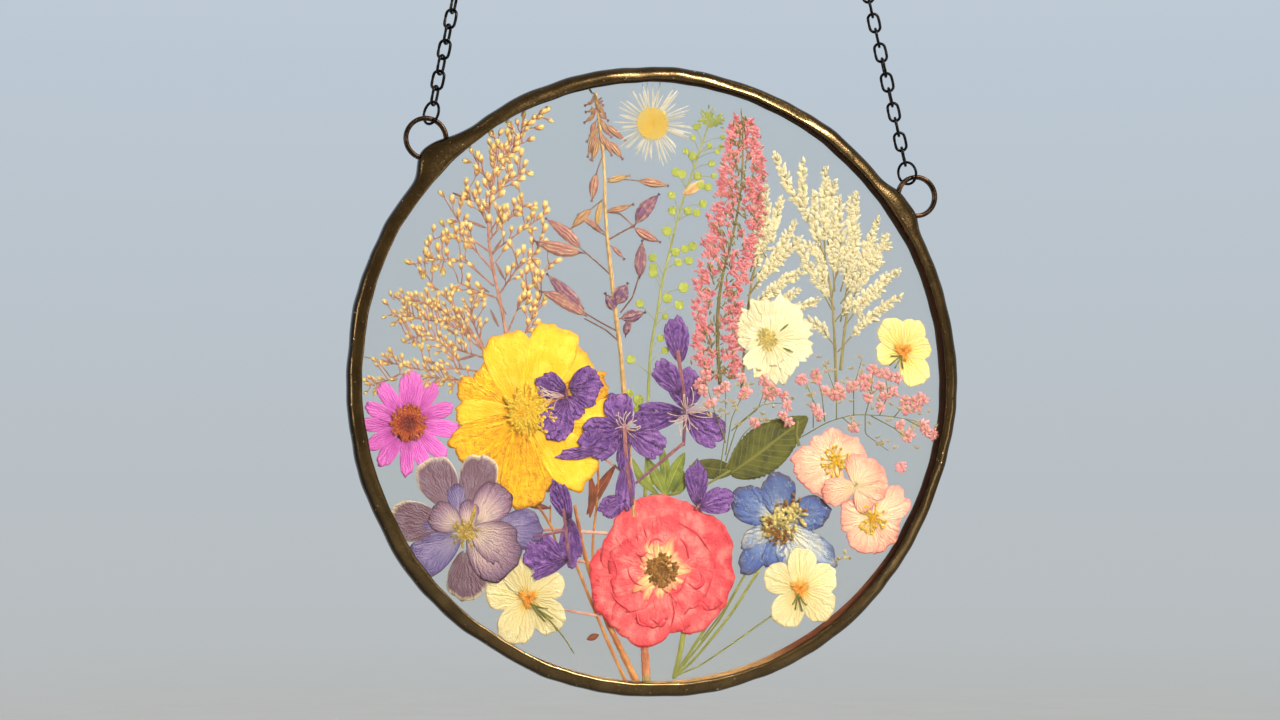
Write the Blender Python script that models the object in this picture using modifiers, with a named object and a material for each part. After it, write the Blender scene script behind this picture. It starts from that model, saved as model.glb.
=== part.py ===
"""A round pressed-flower suncatcher: two glass discs with dried flowers shut in between them, a
copper foil channel and a solder bead round their edge, and two soldered rings on short chains.

The front of the panel faces -Y and the chains run up, +Z. The origin is the point midway between
the hanging points of the two end rings. Lengths are in millimetres until they reach a mesh.
"""

import math
import random

import bmesh
import bpy
from mathutils import Matrix, Vector
from mathutils.geometry import delaunay_2d_cdt

MM = 0.001

# The panel
GLASS_RADIUS = 100.0
GLASS_THICKNESS = 2.0
CAVITY = 2.2                  # between the two discs
TOUCH_GAP = 0.2               # between pieces that touch
FOIL_THICKNESS = 0.2
FOIL_BACK_LIP = 3.4           # how far the foil laps over the glass behind
FOIL_FRONT_LIP = 2.5          # and in front
RIM_RADIUS = 102.0
BEAD_WIDTH = 4.1              # of the solder bead, across its face
BEAD_DEPTH = 8.4              # of the solder bead, front to back
BEAD_SQUARENESS = 0.75        # power of sine and cosine round the bead: 1 is an ellipse, 0 a box
WINDOW_MARGIN = 0.05          # by which the window cutter stays inside the bead's lip
RIM_SEGMENTS = 40

# The pressed flowers lie in four layers, from the back to the front of the cavity
PRESSED_THICKNESS = 0.28
POD_DROP = 3.5                # how far below a pepperweed pod its stalk leaves the stem
SMOOTHED_CORNER = 17.0        # degrees: an outline's bends under this are left out
BACK, MID_BACK, MID_FRONT, FRONT = 0.78, 0.26, -0.26, -0.78

# The two soldered rings and the mounds of solder that hold them
RING_RADIUS = 6.8
RING_WIRE = 1.15
RING_DEPTH = 2.4
RING_SHOULDER = 0.6           # share of the depth over which the band keeps its full thickness
RING_DISTANCE = 108.3         # ring centre from the panel's centre
LEFT_RING_ANGLE = 135.0
RIGHT_RING_ANGLE = 35.0
MOUND_SIZE = (9.5, 3.2, 4.6)  # half sizes along the rim, front to back, and outwards
MOUND_DISTANCE = 101.0        # of a mound's middle from the panel's centre

# The chains
CONNECTOR_RADIUS = 4.1
CONNECTOR_WIRE = 0.9
LINK_LENGTH = 7.1
LINK_WIDTH = 4.6
LINK_WIRE = 0.95
LINK_GAP = 0.15
CONNECTOR_PLAY = 0.45         # between a connecting ring and its soldered ring
END_RING_RADIUS = 6.0
END_RING_WIRE = 1.2
LEFT_CONTACT_ANGLE = 11.4     # where the connector hangs on its ring, from the top
RIGHT_CONTACT_ANGLE = -26.0
LEFT_LEAN = 11.4              # each chain's lean from upright, towards +X
RIGHT_LEAN = -13.0
LEFT_LINKS = 7
RIGHT_LINKS = 12
LEFT_CONNECTOR_TURN = -61.0   # turns about the chain, from lying flat with the panel
RIGHT_CONNECTOR_TURN = -58.0
LEFT_LINK_TURNS = (57.0, -30.0)
RIGHT_LINK_TURNS = (72.0, -12.0)
LINK_SWAY = 5.0               # how far the links' turns stray from those

# Colours
SOLDER_BRONZE = (0.085, 0.066, 0.043)
COPPER = (0.48, 0.2, 0.1)
CHAIN_BLACK = (0.02, 0.019, 0.019)
RING_BRONZE = (0.12, 0.085, 0.06)
CLEAR = (0.92, 0.95, 0.94)
PURPLE = (0.2, 0.07, 0.3)


def clear_scene():
    for old in list(bpy.data.objects):
        bpy.data.objects.remove(old)


def helper(name, parent=None):
    """An empty that other objects hang from."""
    empty = bpy.data.objects.new(name, None)
    bpy.context.scene.collection.objects.link(empty)
    empty.parent = parent
    return empty


def new_collection(name):
    collection = bpy.data.collections.new(name)
    bpy.context.scene.collection.children.link(collection)
    return collection


def material(name, colour, roughness=0.7, metallic=0.0, transmission=0.0):
    made = bpy.data.materials.new(name)
    made.use_nodes = True
    shader = made.node_tree.nodes["Principled BSDF"]
    shader.inputs["Base Color"].default_value = (*colour, 1.0)
    shader.inputs["Roughness"].default_value = roughness
    shader.inputs["Metallic"].default_value = metallic
    shader.inputs["Transmission Weight"].default_value = transmission
    return made


def place(name, data, collection, finish, matrix=None, parent=None):
    """Adds an object for this mesh or curve, at this place as seen from the panel's centre."""
    added = bpy.data.objects.new(name, data)
    collection.objects.link(added)
    added.parent = parent or PANEL_CENTRE
    if matrix is not None:
        added.matrix_local = matrix
    if finish is not None and not data.materials:
        data.materials.append(finish)
    return added


def in_metres(points):
    return [Vector(point) * MM for point in points]


# ---------------------------------------------------------------- turned and round pieces


def turned(name, profile, collection, finish, segments=RIM_SEGMENTS, at=(0.0, 0.0)):
    """Turns a closed profile of (radius, height) about an axis that lies front to back.

    Heights run towards the front, so a profile's first height is its rearmost.
    """
    mesh = bpy.data.meshes.new(name)
    corners = [(radius, 0.0, height) for radius, height in profile]
    edges = [(i, (i + 1) % len(corners)) for i in range(len(corners))]
    mesh.from_pydata(in_metres(corners), edges, [])
    lie_flat = Matrix.Rotation(math.radians(90), 4, "X")
    shift = Matrix.Translation(Vector((at[0], 0.0, at[1])) * MM)
    piece = place(name, mesh, collection, finish, shift @ lie_flat)
    screw = piece.modifiers.new("turn", "SCREW")
    screw.steps = screw.render_steps = segments
    screw.use_merge_vertices = True
    screw.merge_threshold = 0.00001
    screw.use_smooth_shade = False
    return piece


def disc(name, radius, thickness, y, collection, finish):
    """A plain round disc, its corners in line with those of the turned pieces."""
    bpy.ops.mesh.primitive_cylinder_add(vertices=RIM_SEGMENTS, radius=radius * MM, depth=thickness * MM)
    piece = bpy.context.object
    mesh = piece.data
    bpy.data.objects.remove(piece)
    mesh.name = name
    lie_flat = Matrix.Rotation(math.radians(90), 4, "X")
    return place(name, mesh, collection, finish, Matrix.Translation((0, y * MM, 0)) @ lie_flat)


def bead_profile(lip_radius, outer_radius, half_depth):
    """The bead's round outer face from its rear lip to its front lip, as (radius, height)."""
    middle = (lip_radius + outer_radius) / 2
    half_width = (outer_radius - lip_radius) / 2
    points = []
    for step in range(7):
        turn = math.radians(-90 + 30 * step)
        across = abs(math.cos(turn)) ** BEAD_SQUARENESS
        deep = math.copysign(abs(math.sin(turn)) ** BEAD_SQUARENESS, math.sin(turn))
        points.append((middle + half_width * across, half_depth * deep))
    return points


def boolean(piece, operation, cutter):
    modifier = piece.modifiers.new(f"{operation.lower()} {cutter.name}", "BOOLEAN")
    modifier.operation = operation
    modifier.object = cutter


def glass_and_rim(parts, cutters):
    glass_y = (CAVITY + GLASS_THICKNESS) / 2
    stack = CAVITY / 2 + GLASS_THICKNESS
    glass = material("clear glass", CLEAR, 0.03, 0.0, 1.0)
    disc("front_glass", GLASS_RADIUS, GLASS_THICKNESS, -glass_y, parts, glass)
    disc("back_glass", GLASS_RADIUS, GLASS_THICKNESS, glass_y, parts, glass)

    inner = stack + TOUCH_GAP
    outer = inner + FOIL_THICKNESS
    wall = GLASS_RADIUS + TOUCH_GAP
    back_lip = GLASS_RADIUS - FOIL_BACK_LIP
    front_lip = GLASS_RADIUS - FOIL_FRONT_LIP
    channel = [
        (back_lip, -inner), (back_lip, -outer), (wall + FOIL_THICKNESS, -outer),
        (wall + FOIL_THICKNESS, outer), (front_lip, outer), (front_lip, inner),
        (wall, inner), (wall, -inner),
    ]
    turned("copper_foil", channel[::-1], parts, material("copper foil", COPPER, 0.4, 1.0))

    bead_lip = RIM_RADIUS - BEAD_WIDTH
    pocket = outer + TOUCH_GAP
    pocket_radius = wall + FOIL_THICKNESS + TOUCH_GAP
    round_face = bead_profile(bead_lip, RIM_RADIUS, BEAD_DEPTH / 2)
    bead = round_face + [(bead_lip, stack), (bead_lip, -stack)]
    rim = turned("solder_rim", bead[::-1], parts, material("solder", SOLDER_BRONZE, 0.35, 1.0))
    for side, (x, z) in RING_CENTRES.items():
        mound = solder_mound(f"{side}_mound", x, z, cutters)
        boolean(rim, "UNION", mound)
        slot = ring_band(f"{side}_ring_slot", x, z, cutters, None, TOUCH_GAP)
        boolean(rim, "DIFFERENCE", slot)
    pocket_cutter = disc("glass_pocket", pocket_radius, 2 * pocket, 0.0, cutters, None)
    window_radius = bead_lip - WINDOW_MARGIN
    window_cutter = disc("window", window_radius, 2 * BEAD_DEPTH, 0.0, cutters, None)
    boolean(rim, "DIFFERENCE", pocket_cutter)
    boolean(rim, "DIFFERENCE", window_cutter)


def solder_mound(name, x, z, cutters):
    """A long low mound on the rim's outside, where a ring is soldered on."""
    mesh = bpy.data.meshes.new(name)
    shape = bmesh.new()
    bmesh.ops.create_uvsphere(shape, u_segments=10, v_segments=6, radius=1.0)
    shape.to_mesh(mesh)
    shape.free()
    angle = math.atan2(z, x)
    along, deep, out = (size * MM for size in MOUND_SIZE)
    centre = Vector((math.cos(angle), 0.0, math.sin(angle))) * MOUND_DISTANCE * MM
    turn = Matrix.Rotation(math.pi / 2 - angle, 4, "Y")
    stretch = Matrix.Diagonal((along, deep, out, 1.0))
    mesh.transform(Matrix.Translation(centre) @ turn @ stretch)
    return place(name, mesh, cutters, None)


def ring_band(name, x, z, collection, finish, grow=0.0):
    """A soldered ring: a band of wire, deeper than it is thick, lying in the panel's plane."""
    outer = RING_RADIUS + grow
    inner = RING_RADIUS - RING_WIRE - grow
    half = RING_DEPTH / 2 + grow
    middle = (inner + outer) / 2
    shoulder = half * RING_SHOULDER
    profile = [(inner, -shoulder), (middle, -half), (outer, -shoulder),
               (outer, shoulder), (middle, half), (inner, shoulder)]
    return turned(name, profile[::-1], collection, finish, segments=16, at=(x, z))


# ---------------------------------------------------------------- chains


def wire_loop(name, length, width, wire, corners):
    """A closed wire loop in the XZ plane, its long side upright: two half rounds and two straights."""
    curve = bpy.data.curves.new(name, "CURVE")
    curve.dimensions = "3D"
    curve.bevel_depth = wire / 2 * MM
    curve.bevel_resolution = 0
    curve.resolution_u = 1
    radius = (width - wire) / 2
    straight = (length - width) / 2
    points = []
    for end in (1, -1):
        for step in range(corners // 2):
            # A long loop has a corner at each end of its straights.
            steps = corners // 2 - 1 if straight else corners // 2
            turn = math.pi * step / steps
            side = end * radius * math.cos(turn)
            up = end * (straight + radius * math.sin(turn))
            points.append((side, 0.0, up))
    spline = curve.splines.new("POLY")
    spline.points.add(len(points) - 1)
    for point, place_mm in zip(spline.points, points):
        point.co = (*(Vector(place_mm) * MM), 1.0)
    spline.use_cyclic_u = True
    return curve


def contact_point(ring_centre, contact_angle):
    """Where a chain hangs on its soldered ring: in the middle of the band, this far from its top."""
    turn = math.radians(contact_angle)
    centre = Vector((ring_centre[0], 0.0, ring_centre[1]))
    return centre + Vector((math.sin(turn), 0.0, math.cos(turn))) * (RING_RADIUS - RING_WIRE / 2)


def chain(side, ring_centre, contact_angle, lean, connector_turn, link_turns, links, parts, finish):
    """One chain: a connecting ring through the soldered ring, its links, and the end ring.

    Turns are degrees about the chain, from lying flat with the panel. Links alternate between two.
    """
    up = Vector((math.sin(math.radians(lean)), 0.0, math.cos(math.radians(lean))))
    contact = contact_point(ring_centre, contact_angle)

    def add(name, data, distance, turn):
        matrix = Matrix.Translation((contact + up * distance) * MM)
        matrix @= Matrix.Rotation(math.radians(lean), 4, "Y")
        matrix @= Matrix.Rotation(math.radians(turn), 4, "Z")
        place(f"{side}_{name}", data, parts, finish, matrix, HANGER)

    connector_reach = CONNECTOR_RADIUS - CONNECTOR_WIRE / 2
    distance = connector_reach - RING_WIRE / 2 - CONNECTOR_WIRE / 2 - CONNECTOR_PLAY
    add("connecting_ring", CONNECTOR, distance, connector_turn)
    distance += connector_reach - CONNECTOR_WIRE / 2 - LINK_GAP - LINK_WIRE / 2
    distance += (LINK_LENGTH - LINK_WIRE) / 2
    for number in range(links):
        turn = link_turns[number % 2] + LINK_SWAY * math.sin(2.3 * number)
        add(f"link_{number + 1}", LINK, distance, turn)
        if number < links - 1:
            distance += LINK_LENGTH - 2 * LINK_WIRE - LINK_GAP
    distance += (LINK_LENGTH - LINK_WIRE) / 2 - LINK_WIRE / 2 - LINK_GAP - END_RING_WIRE / 2
    distance += END_RING_RADIUS - END_RING_WIRE / 2
    add("end_ring", END_RING, distance, link_turns[links % 2])
    return contact + up * distance


# ---------------------------------------------------------------- outlines of pressed pieces


def petal(x, z, angle, length, width, fullest=0.66, steps=4):
    """A petal's outline from its base at (x, z): narrow at the base, widest at the fullest point.

    The half width at a share t of the length is a power of sin(pi t^p), with p set so that it
    peaks at the fullest point.
    """
    power = math.log(0.5) / math.log(fullest)
    c, s = math.cos(math.radians(angle)), math.sin(math.radians(angle))
    left, right = [], []
    for step in range(steps + 1):
        t = (1 - math.cos(math.pi * step / steps)) / 2
        half = width / 2 * math.sin(math.pi * t ** power) ** 0.75 if 0 < step < steps else width * 0.06
        reach = length * t
        left.append((x + reach * c - half * s, z + reach * s + half * c))
        right.append((x + reach * c + half * s, z + reach * s - half * c))
    return right + left[::-1]


def round_patch(x, z, radius, corners=6, turn=0.0):
    angles = [math.radians(turn + 360 * i / corners) for i in range(corners)]
    return [(x + radius * math.cos(a), z + radius * math.sin(a)) for a in angles]


def ribbon(points, start_width, end_width):
    """A stem: a strip along these points that narrows from its first width to its last."""
    left, right = [], []
    last = len(points) - 1
    for i, (x, z) in enumerate(points):
        before, after = points[max(i - 1, 0)], points[min(i + 1, last)]
        dx, dz = after[0] - before[0], after[1] - before[1]
        size = math.hypot(dx, dz)
        half = (start_width + (end_width - start_width) * i / last) / 2
        left.append((x - dz / size * half, z + dx / size * half))
        right.append((x + dz / size * half, z - dx / size * half))
    return right + left[::-1]


def along(points, share):
    """The point at this share of a line's length, and the line's direction there in degrees."""
    spans = [math.dist(a, b) for a, b in zip(points, points[1:])]
    left = share * sum(spans)
    for (a, b), span in zip(zip(points, points[1:]), spans):
        if left <= span or b == points[-1]:
            t = min(left / span, 1.0)
            angle = math.degrees(math.atan2(b[1] - a[1], b[0] - a[0]))
            return (a[0] + (b[0] - a[0]) * t, a[1] + (b[1] - a[1]) * t), angle
        left -= span


def flower(x, z, centre_radius, petals, fullest=0.66, steps=4):
    """Petals as (angle, length, width) round a centre."""
    shapes = [round_patch(x, z, centre_radius, 8)]
    for angle, length, width in petals:
        shapes.append(petal(x, z, angle, length, width, fullest, steps))
    return shapes


def plume(points, stem_width, bud_width, first=0.35):
    """A twig whose outer part is thick with buds: thin from its foot to the share called first."""
    shares = [0, first, first + 0.15, (first + 1.15) / 2, 0.93, 1]
    widths = [stem_width, stem_width * 0.8, bud_width * 0.8, bud_width, bud_width * 0.7, 0.5]
    left, right = [], []
    for number, (share, width) in enumerate(zip(shares, widths)):
        (x, z), angle = along(points, share)
        sway = 0.18 * width * (-1) ** number if number > 1 else 0.0
        across = Vector((-math.sin(math.radians(angle)), math.cos(math.radians(angle))))
        middle = Vector((x, z)) + across * sway
        left.append(tuple(middle + across * width / 2))
        right.append(tuple(middle - across * width / 2))
    return right + left[::-1]


def kite(foot, x, z, radius):
    """A stalked pod as one outline: its foot, its two sides and its top."""
    reach = Vector((x - foot[0], z - foot[1]))
    reach = reach.normalized() * radius if reach.length else Vector((0.0, radius))
    side = Vector((-reach.y, reach.x))
    centre = Vector((x, z))
    return [foot, tuple(centre - side), tuple(centre + reach), tuple(centre + side)]


def area(shape):
    pairs = zip(shape, shape[1:] + shape[:1])
    return sum(a[0] * b[1] - b[0] * a[1] for a, b in pairs) / 2


def pressed(name, shapes, layer, colour, parts, roughness=0.75):
    """One flat dried piece: everything that these outlines cover, joined and given its thickness."""
    points, faces = [], []
    for shape in shapes:
        if area(shape) < 0:
            shape = shape[::-1]
        faces.append(list(range(len(points), len(points) + len(shape))))
        points += [Vector(point) for point in shape]
    found = delaunay_2d_cdt(points, [], faces, 1, 1e-5)
    corners, triangles, sources = found[0], found[2], found[5]
    shape = bmesh.new()
    verts = [shape.verts.new(Vector((p.x, 0.0, p.y)) * MM) for p in corners]
    for triangle, source in zip(triangles, sources):
        if source:
            shape.faces.new([verts[i] for i in triangle])
    loose = [v for v in shape.verts if not v.link_faces]
    bmesh.ops.delete(shape, geom=loose, context="VERTS")
    bmesh.ops.dissolve_limit(
        shape, angle_limit=math.radians(SMOOTHED_CORNER), verts=shape.verts[:], edges=shape.edges[:])
    bmesh.ops.recalc_face_normals(shape, faces=shape.faces[:])
    mesh = bpy.data.meshes.new(name)
    shape.to_mesh(mesh)
    shape.free()
    finish = material(name.replace("_", " "), colour, roughness)
    piece = place(name, mesh, parts, finish, Matrix.Translation((0, layer * MM, 0)))
    wall = piece.modifiers.new("thickness", "SOLIDIFY")
    wall.thickness = PRESSED_THICKNESS * MM
    wall.offset = 0.0
    return piece


# ---------------------------------------------------------------- the specimens


def goldenrod(parts):
    upper = [ribbon([(-46, -8), (-51, 15), (-55, 35), (-57, 50), (-55.5, 64), (-52, 72)], 1.6, 0.9)]
    upper_twigs = [
        [(-53, 70), (-46, 80), (-37, 88.5)], [(-53.5, 68), (-53, 76), (-56, 82)],
        [(-55, 62), (-49, 72), (-44, 77)], [(-56, 60), (-59, 68), (-64, 73)],
        [(-56.5, 52), (-61, 56), (-70, 58.5)], [(-57, 54), (-52, 62), (-45, 67)],
        [(-56.5, 44), (-50, 53), (-40, 58)], [(-56, 40), (-47, 45), (-36, 55)],
        [(-53, 26), (-46, 38), (-41, 47)], [(-51, 15), (-43, 30), (-34, 39)],
        [(-48.8, 4), (-43, 18), (-36, 29)], [(-56, 41), (-62, 45), (-68, 52)],
        [(-55, 35), (-65, 45), (-72, 46), (-77, 43)], [(-54, 29), (-64, 38), (-81, 37)],
        [(-53.5, 27), (-60, 28), (-67, 32)],
    ]
    upper += [plume(twig, 0.9, 4.6) for twig in upper_twigs]
    pressed("goldenrod_upper_spray", upper, BACK, (0.72, 0.5, 0.28), parts)

    lower = [ribbon([(-49, -5), (-54, 5), (-60, 13)], 1.3, 1.0)]
    lower_twigs = [
        [(-59, 11), (-68, 21), (-78, 27), (-88, 26)], [(-58, 11), (-72, 18), (-87, 21)],
        [(-60, 13), (-65, 23), (-76, 32)], [(-55, 6), (-69, 11), (-76, 15), (-84, 12)],
        [(-52, 1), (-66, 5), (-82, 5), (-97, 7.5)], [(-51, -1), (-66, -1), (-80, 1)],
    ]
    lower += [plume(twig, 0.9, 4.8, 0.3) for twig in lower_twigs]
    pressed("goldenrod_lower_spray", lower, BACK, (0.74, 0.5, 0.3), parts)


def fireweed(parts):
    stem = [(-21, 93), (-20, 82), (-18.4, 72), (-18, 58), (-17, 45), (-15.5, 28), (-13, 12), (-12, -4),
            (-10, -20), (-9, -40), (-6.5, -70), (-5, -97)]
    shapes = [ribbon(stem, 0.8, 3.0)]
    # Each bud or pod: where it leaves the stem, then its angle, length with its stalk, and width
    buds = [
        (-20.5, 90, -50, 5, 1.8), (-20, 85, -40, 9.5, 2.6), (-20, 83, 250, 9, 2.0),
        (-19, 79, -48, 9, 3.0), (-18.6, 72, -105, 15, 3.6), (-18, 63, 20, 9, 2.2),
        (-18, 65, -5, 20, 3.2), (-18, 56, 12, 8.5, 2.2), (-17.6, 46, 30, 10, 3.2),
        (-17.6, 48, -10, 18, 3.4), (-18.2, 59, 220, 15, 3.4), (-17, 43, -50, 7, 2.0),
        (-16, 34, 140, 23, 4.4), (-15.5, 28, 152, 16, 4.6), (-14.5, 22, 20, 10, 4.4),
        (-14, 17, 155, 27, 4.8), (-14, 16, 65, 8, 4.6),
    ]
    for x, z, angle, length, width in buds:
        shapes.append(petal(x, z, angle, length, width, 0.62, 3))
    shapes.append(ribbon([(-13.6, 16), (-8.5, 27), (-7.5, 34)], 0.7, 0.7))
    shapes.append(petal(-8, 32, 82, 12.5, 4.2, 0.5, 3))
    shapes.append(ribbon([(-17.5, 53), (-12, 52), (-8, 50)], 0.7, 0.7))
    shapes.append(petal(-8.5, 49, 52, 13, 4.8, 0.5, 3))
    pressed("fireweed_spike", shapes, MID_BACK, (0.5, 0.24, 0.26), parts)


def daisy(parts):
    outline = []
    for i in range(36):
        reach = 12.3 + 1.2 * math.sin(3.7 * i) if i % 2 else 9.5
        turn = math.radians(10 * i + 3 * math.sin(5 * i))
        outline.append((-2.3 + reach * math.cos(turn), 84 + reach * math.sin(turn)))
    pressed("daisy", [outline], MID_FRONT, (0.9, 0.82, 0.5), parts)


def pepperweed(parts):
    stem = [(-4, -24), (-4, -8), (-3, 10), (-1, 20), (1.5, 34), (6, 52), (10.5, 68), (14.5, 79), (18, 87)]
    pods = [
        (8.8, 75.5), (5.4, 67.5), (13, 66.6), (17.5, 63.6), (3.6, 60.4), (15, 58.2), (3.6, 53.5),
        (12.2, 54.4), (2.2, 48), (5.5, 40.5), (10.4, 42), (-2.8, 38), (8.6, 30.5), (6.6, 24.6), (-6.8, 25),
        (22.5, 78.5), (20.5, 74), (10.8, 82.4), (2.8, 12), (-7.8, 6.5), (-8, -8.5),
    ]
    shapes = [ribbon(stem, 1.2, 0.6)]
    for x, z in pods:
        steps = [along(stem, number / 60)[0] for number in range(61)]
        foot = min(steps, key=lambda spot: math.dist(spot, (x, z - POD_DROP)))
        shapes.append(kite(foot, x, z, 1.5))
    head = [(12.6, 83.5), (16, 81), (20, 81.5), (23, 85.5), (20.5, 88.5), (16, 90), (13, 88)]
    shapes.append(head)
    shapes.append(petal(7, 60.5, 33, 9, 2.8, 0.5, 3))
    pressed("pepperweed_spike", shapes, BACK, (0.38, 0.48, 0.14), parts)


def veronica(parts):
    """A spike of small flowers: along its bent axis, the outline runs out to each tip and back."""
    axis = [(17, 2), (19, 15), (21.5, 35), (26.5, 55), (28, 70), (28, 84)]
    reach = [8, 8.5, 9, 8.5, 6.5, 4.5]
    rows = 13
    left, right = [], []
    for row in range(rows):
        share = row / (rows - 1)
        low = min(int(share * (len(reach) - 1)), len(reach) - 2)
        part = share * (len(reach) - 1) - low
        size = reach[low] + (reach[low + 1] - reach[low]) * part
        (x, z), angle = along(axis, share)
        for side, edge in ((1, left), (-1, right)):
            for swing, spread in ((90, 0.62), (68, 1.1)):
                turn = math.radians(angle + side * swing)
                out = size * spread * (1 + 0.1 * math.sin(7.1 * row + side))
                edge.append((x + out * math.cos(turn), z + out * math.sin(turn)))
    outline = right + [(28.6, 91)] + left[::-1]
    pressed("veronica_spike", [outline], MID_BACK, (0.85, 0.28, 0.33), parts)


def statice(parts):
    right = [ribbon([(60.5, -6), (60, 14), (59, 30), (55, 47), (48, 60)], 1.8, 1.0)]
    right_twigs = [
        [(52, 52), (45, 64), (39, 76)], [(55, 46), (50, 60), (48, 73)], [(58.5, 32), (59, 50), (57, 71)],
        [(60, 12), (66, 38), (69.5, 66)], [(66, 36), (71, 46), (75, 55)], [(62, 20), (73, 38), (82, 49)],
        [(61, 16), (70, 30), (83, 38)], [(60.2, 10), (70, 20), (83, 29)], [(60, 20), (63, 45), (63, 60)],
    ]
    right += [plume(twig, 1.0, 5.6, 0.4) for twig in right_twigs]
    pressed("statice_right_plume", right, BACK, (0.72, 0.66, 0.45), parts)

    left = [ribbon([(28, -4), (29, 12), (30.5, 28), (34, 44)], 1.6, 1.0)]
    left_twigs = [
        [(33, 41), (36, 52), (35.5, 63)], [(32, 36), (38, 47), (42, 60)], [(30.8, 29), (37, 39), (48, 46)],
        [(30, 22), (38, 32), (50, 37)], [(29, 14), (42, 20), (54, 25)],
    ]
    left += [plume(twig, 1.0, 5.6, 0.4) for twig in left_twigs]
    pressed("statice_left_plume", left, BACK, (0.72, 0.66, 0.45), parts)


def round_flowers(parts):
    white = [(100, 13, 10), (62, 15, 10), (22, 18, 11), (-18, 17, 11), (-52, 17, 11), (-92, 12, 9),
             (-135, 11, 9), (172, 10, 9), (135, 12, 9)]
    shapes = flower(38, 14, 6, white, 0.7)
    pressed("white_flower", shapes, MID_FRONT, (0.88, 0.85, 0.6), parts)

    cream = [(122, 11.5, 9.5), (62, 10.5, 9), (188, 9, 8), (8, 9.5, 7), (-58, 12.5, 9.5)]
    shapes = flower(83.5, 10.5, 3, cream, 0.62)
    pressed("cream_viola", shapes, MID_FRONT, (0.86, 0.74, 0.36), parts)

    magenta = [(86, 16.2, 8.5), (54, 15, 7), (21, 15.4, 7), (-8, 16.6, 7), (-42, 16, 7), (-68, 15.4, 6),
               (-92, 16.4, 6), (-124, 16, 7), (-149, 15.4, 6.6), (-178, 14.6, 6.6), (158, 14.6, 6.6),
               (127, 15.4, 7)]
    shapes = flower(-82, -13.8, 6, magenta, 0.58)
    pressed("magenta_everlasting", shapes, MID_BACK, (0.72, 0.16, 0.62), parts)

    yellow = [(100, 27, 19), (66, 30, 20), (30, 29, 18), (2, 24, 14), (-38, 28, 18), (-64, 29, 18),
              (-93, 31, 17), (-122, 25, 14), (-153, 28, 15), (178, 22, 12), (156, 27, 13), (126, 27, 16)]
    shapes = flower(-45, -11, 9, yellow, 0.72)
    pressed("yellow_cosmos", shapes, MID_FRONT, (0.85, 0.58, 0.01), parts)

    rose = [(104, 24.5, 24), (62, 23, 22), (27, 25, 22), (-8, 24, 22), (-40, 24.5, 22), (-76, 20.5, 22),
            (-112, 25.5, 20), (-146, 25, 20), (-176, 23.5, 18), (146, 21, 20)]
    shapes = flower(0.5, -61, 12, rose, 0.66)
    pressed("rose", shapes, MID_FRONT, (0.8, 0.08, 0.09), parts)

    lilac = [(121, 23.5, 13), (79, 22.5, 13), (169, 22.5, 13), (-155, 19, 14), (-90, 20, 13),
             (-40, 16.5, 19), (0, 19, 12), (49, 17.5, 14)]
    shapes = flower(-63, -48, 6, lilac, 0.66)
    pressed("lilac_larkspur", shapes, FRONT, (0.42, 0.3, 0.48), parts)

    left_viola = [(113, 14, 10), (28, 13, 9), (168, 14, 11), (-114, 15, 11), (-42, 14, 11)]
    shapes = flower(-43.5, -69.5, 3, left_viola, 0.62)
    shapes.append(ribbon([(-43, -71), (-36, -77), (-31, -83), (-28.5, -87.3)], 0.7, 0.5))
    pressed("left_viola", shapes, MID_FRONT, (0.85, 0.76, 0.5), parts)

    right_viola = [(84, 12.5, 10), (154, 12.5, 10), (22, 13, 9.5), (-38, 13.5, 11), (-120, 13, 11)]
    shapes = flower(47.3, -67.7, 3, right_viola, 0.62)
    pressed("right_viola", shapes, MID_FRONT, (0.86, 0.74, 0.42), parts)

    blue = [(92, 16.5, 13), (155, 16, 12), (12, 18, 11), (-38, 21, 11), (-122, 22, 9), (-98, 16, 9),
            (-150, 14, 7)]
    shapes = flower(40.5, -46, 6, blue, 0.64)
    pressed("blue_delphinium", shapes, MID_BACK, (0.25, 0.34, 0.62), parts)

    peach_sets = (
        ("upper_peach_blossom", 60, -26, MID_FRONT,
         [(186, 15.5, 11), (118, 11, 11), (62, 10, 10), (20, 10.5, 10), (-118, 13, 13)]),
        ("side_peach_blossom", 66.5, -34, FRONT,
         [(70, 10, 13), (20, 11, 12), (-32, 9, 11), (205, 12, 8)]),
        ("lower_peach_blossom", 72.5, -45, MID_FRONT,
         [(34, 14.5, 10), (-18, 10, 9), (-62, 11, 10), (-112, 11.5, 11), (172, 11, 10)]),
    )
    for name, x, z, layer, petals in peach_sets:
        pressed(name, flower(x, z, 4, petals, 0.64), layer, (0.9, 0.6, 0.48), parts)


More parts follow.
